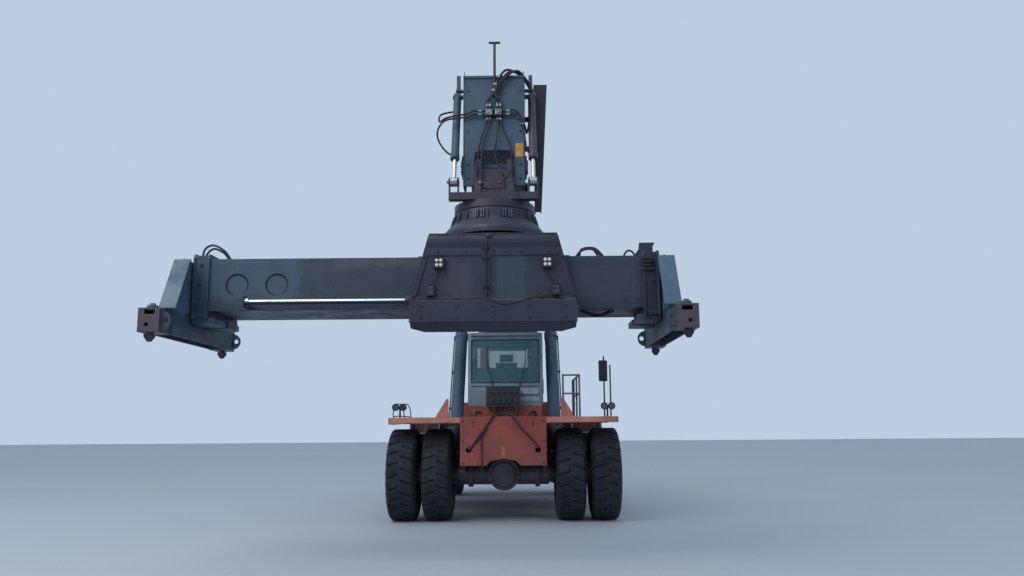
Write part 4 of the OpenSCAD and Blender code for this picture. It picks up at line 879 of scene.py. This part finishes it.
def add_spreader_trim():
    """Hoses and bolts at the ends of the spreader's beam, and rings of painted shade at the rims of its round
    recesses.
    """
    runs = []
    top = BEAM_TOP - 4
    for lift, reach, y in ((0, 300, -60), (34, 350, -110)):
        x = -3560 - lift * 0.6
        runs.append((13, [(x, y, -1176), (x + 20, y - 6, -1080 + lift),
            (x + reach * 0.35, y - 8, -1024 + lift), (x + reach * 0.75, y - 2, -1080 + lift * 0.6),
            (x + reach, y, -1180), (x + reach + 20, y + 6, top)]))
    for lift, reach, y in ((0, 300, -120), (22, 340, -60), (-16, 250, -180)):
        runs.append((13, [(1000 + lift, y, top), (1016 + lift, y, -1170), (1070, y - 6, -1090 + lift),
            (1090 + reach * 0.4, y - 4, -1080 + lift), (1000 + reach, y, -1170), (1030 + reach, y, top)]))
    runs += [
        (12, [(1560, -90, top), (1580, -92, -1160), (1630, -96, -1098), (1690, -92, -1118),
              (1720, -80, -1176)]),
        (14, [(1020, -250, -1856), (1120, -256, -1900), (1206, -258, -1926), (1330, -250, -1900),
              (1420, -240, -1856)]),
        (14, [(1040, -220, -1856), (1160, -226, -1888), (1260, -226, -1904), (1380, -216, -1856)])]
    side = BEAM_FACE - 46
    for k, z in enumerate((-1268, -1310, -1352)):
        runs.append((12, [(1745 + k * 4, side + 10, z), (1760, side - 20, z - 6), (1835, side - 22, z - 12),
            (1880, side + 12, z - 4)]))
    add_hoses("beam_hoses", "beam", TILT_PIN, runs)
    bolts = Piece(TILT_PIN)
    for s in (-1, 1):
        end = s * (LOCK_X - 180) + SHIFT
        bolts.hexes([(end - s * 90, BEAM_FACE - 38, z) for z in (-1300, -1530)], FRONT, 30, 14)
        bolts.hexes([(end - s * 90, 25 - BEAM_FACE, z) for z in (-1300, -1530, -1760)], BACK, 30, 14)
        bolts.hexes([(end - s * 95, y, -1190) for y in (-380, -250, 250, 380)], UP, 28, 14)
    bolts.hexes([(1440 + x, y, BEAM_TOP) for x in (0, 60) for y in (-160, -80)], UP, 30, 44)
    bolts.rod((1745, side - 8, -1400), (1880, side - 8, -1400), 17, 20, edge=3)
    bolts.rod((1700, side + 8, -1400), (1745, side - 8, -1400), 10, 16)
    bolts.finish("beam_bolts", "beam", "rod_chrome", BOLT)
    # Dark rings at the rims of the beam's two round recesses: painted shade inside the recesses.
    recess_shade_rings = Piece(SPREADER)
    for x in (-2230, -1760):
        recess_shade_profile = ((11.5, 116), (4, 130), (1, 135.5), (11.5, 135.5))
        recess_shade_rings.revolve([(BEAM_FACE + y, r) for y, r in recess_shade_profile], (x, 0, BEAM_TOP - 315), 48, "Y", closed=True)
    recess_shade_rings.finish("disc_recess_shade", "beam", "black_steel", DARK)
    for name, s in SIDES:
        arm = Piece(TILT_PIN)
        end = s * (LOCK_X + 102.5) + SHIFT
        for t in (-1, 1):
            out = t * (LOCK_Y - 212.5)
            arm.tube([(end - s * x, out, -1910) for x in (20, 120, 225)], 7, 8, 2)
            bead = ((680, -1290), (850, -1590), (1018, -1896))
            arm.tube([(end - s * 239, t * y, z) for y, z in bead], 8, 8, 2)
            for low, high, r, sides, edge in ((-1912, -1880, 60, 24, 6), (-1880, -1858, 34, 6, 3)):
                arm.rod((end - s * 118, t * LOCK_Y, low), (end - s * 118, t * LOCK_Y, high), r, sides,
                    edge=edge)
            hose = ((118, 1070, -1890), (140, 960, -1876), (180, 700, -1880), (210, 420, -1860),
                (232, 260, -1820))
            arm.tube([(end - s * x, t * y, z) for x, y, z in hose], 11, 8)
        arm.finish("arm_trim_" + name, "arm_" + name, "boom_paint", ARM)


def add_boom_trim():
    """Hoses in the tray, wear-pad bolts, weld beads and pin covers of the boom."""
    hoses = Piece(BOOM_PIN, -BOOM_ANGLE)
    for k in range(5):
        x = 185 + k * 48
        wave = 4 * (k % 2)
        hoses.tube([(x, -7900, 632), (x + wave, -6400, 630), (x - wave, -5000, 631), (x, -3600, 630),
            (x + wave, -2000, 631), (x, -500, 631), (x, -380, 640)], 18, 10, 3)
    hoses.finish("tray_hoses", "boom", "tyre_rubber", HOSE)
    trim = Piece(BOOM_PIN, -BOOM_ANGLE)
    pads = (-8180, -7990)
    for s in (-1, 1):
        x = s * 471
        trim.hexes([(x, y, z) for y in pads for z in (-60, 75, 210)], (s, 0, 0), 30, 12)
        for z in (-395, 595):
            trim.tube([(x, y, z) for y in (-8080, -4000, 340)], 7, 8, 2)
        trim.hexes(ring_spots((s * 486, 0, 0), 150, 8), (s, 0, 0), 26, 12)
    trim.hexes([(x, y, 612) for x in (-200, 0) for y in pads], UP, 30, 12)
    for y in (-7000, -5600, -4200, -2800, -1400):
        trim.box((140, y - 15, 688), (430, y + 15, 694), 2)
    trim.finish("boom_trim", "boom", "boom_paint")
    pins = Piece()
    x, y, z = BOOM_FOOT
    for s in (-1, 1):
        cover = ((720, 235), (734, 228), (734, 90), (744, 80), (744, 1))
        pins.revolve([(s * out, r) for out, r in cover], BOOM_FOOT)
        pins.hexes(ring_spots((s * 734, y, z), 165, 8), (s, 0, 0), 34, 14)
        pins.hexes(ring_spots((s * 1220, 950, 1050), 34, 3), (s, 0, 0), 22, 10, washer=False)
    pins.finish("pin_covers", "chassis", "chassis_paint")


def add_nose_trim():
    """Hoses, blank label and bolts on the plate over the front axle, and the fender lamps."""
    y = NOSE_FRONT - 22
    add_hoses("nose_hoses", "chassis", MACHINE, [
        (15, [(-150, -640, 1850), (-158, y + 8, 1846), (-188, y, 1800), (-290, y - 4, 1640), (-400, y, 1490),
              (-520, y, 1340), (-592, y + 6, 1262)]),
        (15, [(120, -640, 1856), (130, y + 8, 1850), (164, y, 1816), (330, y - 6, 1600), (460, y - 2, 1470),
              (560, y, 1360), (598, y + 6, 1285)]),
        (11, [(-176, -640, 1850), (-186, y + 6, 1840), (-236, y - 8, 1740), (-330, y - 8, 1610),
              (-366, y - 2, 1500), (-372, y, 1300), (-370, y, 1080), (-368, y + 4, 860),
              (-372, y + 20, 780)]),
        (14, [(-60, -560, 1838), (0, -700, 1872), (70, -690, 1870), (120, -560, 1838)]),
        (14, [(-110, -520, 1838), (-40, -610, 1880), (60, -620, 1884), (150, -520, 1838)])])
    sleeves = Piece()
    sleeves.tube([(-300, y - 4, 1624), (-400, y - 1, 1488), (-500, y - 1, 1364)], 24, 12)
    sleeves.rod((-330, y - 6, 1560), (-352, y - 6, 1530), 30, 16, edge=3)
    sleeves.finish("nose_sleeves", "chassis", "black_steel", DARK)
    fittings = Piece()
    for x, z in ((-592, 1262), (598, 1285)):
        fittings.rod((x, NOSE_FRONT - 12, z - 14), (x, NOSE_FRONT - 12, z + 30), 22, 12, edge=3)
    for x in (-560, 520):
        fittings.rod((x, -700, FENDER_TOP + 8), (x, -700, FENDER_TOP + 60), 26, 20, edge=4)
        fittings.rod((x, -700, FENDER_TOP + 60), (x, -700, FENDER_TOP + 84), 12, 12, edge=2)
    fittings.hexes([(x, NOSE_FRONT, z) for x in (-700, 700) for z in (1030, 1400, 1740)], FRONT, 28, 12)
    fittings.hexes([(520, NOSE_FRONT, 1110)], FRONT, 20, 10)
    fittings.finish("nose_fittings", "chassis", "chassis_paint", BOLT)
    label = Piece()
    label.box((-32, NOSE_FRONT - 3, 1130), (28, NOSE_FRONT + 1, 1305), 1)
    label.finish("nose_label", "chassis", "chassis_paint", FADED)
    slots = Piece()
    for x in (-520, 520):
        slots.box((x - 8, NOSE_FRONT - 4, 1640), (x + 8, NOSE_FRONT + 1, 1740), 2)
    slots.finish("nose_slots", "chassis", "black_steel", DARK)
    lamps = Piece()
    guards = Piece()
    for s in (-1, 1):
        for x in (1800, 1930):
            lamps.rod((s * x, -430, 2000), (s * x, -438, 2000), 52, 28, edge=4)
            guards.revolve([(-441, 54), (-441, 64), (-420, 66), (-420, 61)], (s * x, 0, 2000), 32, "Y")
            guards.rod((s * x, -340, 2000), (s * x, -318, 2000), 34, 20, top=20, edge=4)
    lamps.finish("work_lamp_lenses", "chassis", "lamp", DULL)
    for x in (-1950, -1830):
        guards.tube([(x, -500, FENDER_TOP), (x - 10, -505, 1900), (x + 30, -510, 2030),
            (x + 120, -505, 2050), (x + 170, -500, 1960), (x + 190, -495, FENDER_TOP)], 9, 8)
    guards.tube([(-1950, -500, 1830), (-1850, -500, 1842), (-1640, -498, 1826)], 9, 8)
    guards.finish("lamp_guards", "chassis", "black_steel", DARK)


def add_fender_lips():
    """The fenders' front lips: the left one is bent out of line."""
    for name, s in SIDES:
        lip = Piece()
        rings = []
        for k in range(41):
            x = 752 + (1998 - 752) * k / 40
            bend = 0.0
            drop = 3 * math.sin(x / 90)
            if s < 0:
                wave = math.exp(-((x - 1380) / 210) ** 2)
                bend = 26 * wave
                drop = -20 * math.exp(-((x - 1900) / 160) ** 2) + 14 * wave
            y = NOSE_FRONT - 4 + bend
            z = FENDER_TOP + drop
            rings.append([(s * x, y, z - 2 - drop * 0.7), (s * x, y, z - 96), (s * x, y + 7, z - 100),
                (s * x, y + 12, z - 92), (s * x, y + 12, z + 1 - drop * 0.7)])
        lip.skin(rings)
        lip.finish("fender_lip_" + name, "chassis", "chassis_paint", FENDER)


def add_cab():
    """Seat, consoles, dashboard, wheel and wipers."""
    seat = Piece()
    add_cushion(seat, (-255, 2690, 2440), (255, 3170, 2560), 46, crown=26)
    add_cushion(seat, (-235, 3150, 2540), (235, 3275, 3060), 44, crown=18)
    add_cushion(seat, (-150, 3160, 3070), (150, 3265, 3240), 38, crown=10)
    made = seat.finish("cab_seat", "cab", "cab_trim", SEAT, 60)
    trim = Piece()
    trim.box((-190, 2740, 2122), (190, 3110, 2180), 12)
    for z in range(2190, 2400, 26):
        trim.box((-150, 2770, z), (150, 3080, z + 16), 7)
    trim.box((-230, 2720, 2404), (230, 3140, 2446), 10)
    for s in (-1, 1):
        trim.box((s * 315 - 52, 2690, 2122), (s * 315 + 52, 3130, 2600), 18)
        trim.box((s * 315 - 60, 2680, 2600), (s * 315 + 60, 3140, 2650), 14)
        trim.tube([(s * 315, 2760, 2640), (s * 312, 2745, 2720), (s * 310, 2730, 2790)], 14, 12)
        trim.rod((s * 310, 2734, 2770), (s * 309, 2718, 2850), 26, 16, top=30, edge=8)
    dash = [(1752, 2122), (1752, 2440), (1790, 2500), (1900, 2520), (1975, 2470), (1990, 2400),
        (1950, 2122)]
    trim.skin([[(x, y, z) for y, z in dash] for x in (-505, -500, 500, 505)])
    trim.box((330, 1800, 2510), (350, 1830, 2660), 6)
    trim.box((230, 1790, 2650), (470, 1830, 2830), 14)
    trim.tube([(0, 2000, 2135), (0, 2090, 2380), (0, 2212, 2716)], 34, 16, 3)
    centre = Vector((0, 2222, 2744))
    tilt = Matrix.Rotation(math.radians(-20), 4, "X")
    grip = [centre + tilt @ turned(0, 200, 2 * math.pi * k / 40, "Z") for k in range(41)]
    trim.tube(grip, 15, 10, 1)
    trim.rod(centre + tilt @ Vector((0, 0, -20)), centre + tilt @ Vector((0, 0, 14)), 48, 20, edge=8)
    for a in (90, 210, 330):
        trim.rod(centre, centre + tilt @ turned(0, 196, math.radians(a), "Z"), 10, 10)
    for x in (-150, 110, 220):
        trim.skin([[(x - 40, y, z), (x + 40, y, z), (x + 40, y + 14, z + 6), (x - 40, y + 14, z + 6)]
            for y, z in ((2010, 2150), (1990, 2260))])
    trim.box((-700, 1760, 2121), (700, 3500, 2130), 3)
    made = trim.finish("cab_fittings", "cab", "cab_trim")
    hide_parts("cab_interior")
    wipers = Piece()
    for s, x in ((-1, -260), (1, 300)):
        wipers.rod((x, 1702, 2500), (x, 1680, 2500), 18, 16, edge=3)
        wipers.tube([(x, 1684, 2500), (x + s * 60, 1676, 2760), (x + s * 120, 1690, 3010)], 7, 8)
        wipers.box((x + s * 120 - 6, 1684, 2760), (x + s * 120 + 6, 1698, 3300), 3)
    seal = [(-695, 1700, 2540), (695, 1700, 2540), (695, 1700, 3420), (-695, 1700, 3420)]
    for a, b in zip(seal, seal[1:] + seal[:1]):
        wipers.rod(a, b, 9, 8)
    wipers.box((-690, 1694, 2455), (690, 1702, 2470), 3)
    wipers.finish("cab_wipers", "cab", "black_steel", DARK)
    plate = Piece()
    plate.box((250, 1690, 2150), (690, 1699, 2250), 4)
    plate.box((250, 1690, 2300), (690, 1699, 2420), 4)
    plate.hexes([(x, 1690, z) for x in (270, 670) for z in (2165, 2236, 2316, 2404)], FRONT, 14, 6,
        washer=False)
    plate.finish("cab_plates", "cab", "cab_paint", PALE_PLATE)


def add_cushion(piece, low, high, r, crown):
    """A crowned closed pad between two corners, with its sides pulled in between the corners."""
    low, high = Vector(low), Vector(high)
    middle = (low + high) / 2
    half = (high - low) / 2
    n = 14
    thin = min(range(3), key=lambda i: half[i])
    wide, tall = [i for i in range(3) if i != thin]
    rims = []
    for s in (-1, 1):
        rows = []
        for i in range(n + 1):
            row = []
            for j in range(n + 1):
                u, v = 2 * i / n - 1, 2 * j / n - 1
                edge_u = min(1.0, (1 - abs(u)) * half[wide] / r)
                edge_v = min(1.0, (1 - abs(v)) * half[tall] / r)
                rounded = math.sqrt(1 - (1 - edge_u) ** 2) * math.sqrt(1 - (1 - edge_v) ** 2)
                thickness = (half[thin] - crown) + crown * (1 - u * u) * (1 - v * v)
                p = [0.0, 0.0, 0.0]
                p[wide] = middle[wide] + half[wide] * u * (1 - 0.02 * (1 - v * v))
                p[tall] = middle[tall] + half[tall] * v * (1 - 0.02 * (1 - u * u))
                p[thin] = middle[thin] + s * thickness * (0.35 + 0.65 * rounded)
                row.append(piece.mesh.verts.new(p))
            rows.append(row)
        for i in range(n):
            for j in range(n):
                piece.face((rows[i][j], rows[i + 1][j], rows[i + 1][j + 1], rows[i][j + 1]))
        sides = list(zip(*rows))
        rims.append(list(sides[0][:-1]) + rows[-1][:-1] + list(sides[-1][:0:-1]) + rows[0][:0:-1])
    a, b = rims
    for i in range(len(a)):
        j = (i + 1) % len(a)
        piece.face((a[i], a[j], b[j], b[i]))


def add_rear():
    """Radiator core, lenses, blank plate and bolts behind, and the exhaust's strap."""
    core = Piece()
    core.box((-400, 6820, 1750), (400, 6868, 2770), 4)
    for k in range(40):
        x = -385 + k * 19.5
        core.box((x, 6866, 1760), (x + 5, 6874, 2760))
    core.finish("radiator", "chassis", "engine_iron", CORE)
    for name, x, lens_glass in (("tail_lenses", 670, RED), ("turn_lenses", 810, AMBER)):
        lenses = Piece()
        for s in (-1, 1):
            lenses.rod((s * x, TAIL - 8, 1970), (s * x, TAIL - 1, 1970), 42, 28, edge=3)
        lenses.finish(name, "chassis", "lamp", lens_glass)
    rear = Piece()
    rear.hexes([(x, TAIL - 15, z) for x in (-430, 430) for z in (1300, 2000)], BACK, 70, 11)
    rear.hexes([(x, 7420, 2262) for x in (-900, 900)], (0, 0.3, 1), 50, 30)
    plate = ((-484, 1246), (484, 1246), (484, 2054), (-484, 2054), (-484, 1246))
    rear.tube([(x, TAIL - 6, z) for x, z in plate], 5, 8, 1)
    rear.rod((0, 7430, 700), (0, 7430, 1180), 22, 20, edge=4)
    rear.rod((0, 7430, 1060), (0, 7430, 1075), 40, 20, edge=4)
    rear.finish("weight_bolts", "chassis", "chassis_paint", WEIGHT)
    straps = Piece()
    x, y = EXHAUST
    for z in (2120, 2880):
        straps.revolve([(z, 78), (z + 40, 78), (z + 40, 82), (z, 82)], (x, y, 0), 32, "Z", closed=True)
    for spot in ring_spots((x, y, 2200), 79, 9, "Z"):
        straps.rod(spot, spot + Vector((0, 0, 640)), 4, 8)
    straps.finish("exhaust_guard", "chassis", "walk_plate", BOLT)
    caps = Piece()
    for s in (-1, 1):
        caps.hexes(ring_spots((s * 1250, 4130, 1840), 52, 6, "Z"), UP, 16, 6, washer=False)
        caps.box((s * 1250 - 50, 4122, 1840), (s * 1250 + 50, 4138, 1852), 3)
        for z in (700, 1000, 1300, 1600):
            caps.hexes([(s * 1951, y, z) for y in (1840, 2720, 4600)], (s, 0, 0), 22, 10)
    caps.finish("tank_fittings", "chassis", "chassis_paint", BOLT)
    mirror = Piece()
    mirror.box((1738, -238, 2458), (1872, -232, 2812), 3)
    mirror.finish("mirror_glass", "chassis", "rod_chrome", MIRROR)
    shell = Piece()
    shell.box((1726, -276, 2446), (1884, -238, 2824), 16)
    shell.finish("mirror_shell", "chassis", "black_steel", DARK)


def finish_nodes():
    for row in frame["record"]["subparts"]:
        node = NODES[row["node"]]
        node.data.materials.clear()
        node.data.materials.append(NODE_MATERIALS.get(row["node"], MATERIALS[row["material_slot"]]))
        for polygon in node.data.polygons:
            polygon.use_smooth = node.data.polygons[0].use_smooth


def add_stage():
    """A plain pale floor."""
    mesh = bpy.data.meshes.new("floor")
    half = 90.0
    corners = [(-half, -half, 0), (half, -half, 0), (half, half, 0), (-half, half, 0)]
    mesh.from_pydata(corners, [], [(0, 1, 2, 3)])
    floor = placed("floor", mesh)
    n = Nodes("floor")
    tone = n.mix(n.noise(0.15, 2, low=0.2, high=0.8), (176, 181, 187), (181, 186, 191))
    n.surface(Base_Color=tone, Roughness=0.85)
    mesh.materials.append(n.material)


def add_light():
    """An even pale sky and one large soft lamp from the front left."""
    world = bpy.data.worlds.new("sky")
    bpy.context.scene.world = world
    world.use_nodes = True
    back = world.node_tree.nodes["Background"]
    back.inputs["Color"].default_value = colour(SKY)
    back.inputs["Strength"].default_value = 1.0
    lamp = bpy.data.lights.new("softbox", "AREA")
    lamp.energy = 2000
    lamp.size = 14
    lamp.color = (1.0, 0.98, 0.95)
    place = placed("softbox", lamp)
    place.location = (-9, -15, 16)
    place.rotation_euler = (Vector((0, 0, 2)) - Vector(place.location)).to_track_quat("-Z", "Y").to_euler()
    bpy.context.scene.view_settings.view_transform = "Standard"


add_camera()
finish_nodes()
add_tyres()
add_wheel_fittings()
add_head_hoses()
add_yoke_hoses()
add_head_plates()
add_yoke_trim()
add_reshaped()
add_trolley_trim()
add_rotator_trim()
add_spreader_trim()
add_boom_trim()
add_nose_trim()
add_fender_lips()
add_cab()
add_rear()
add_stage()
add_light()
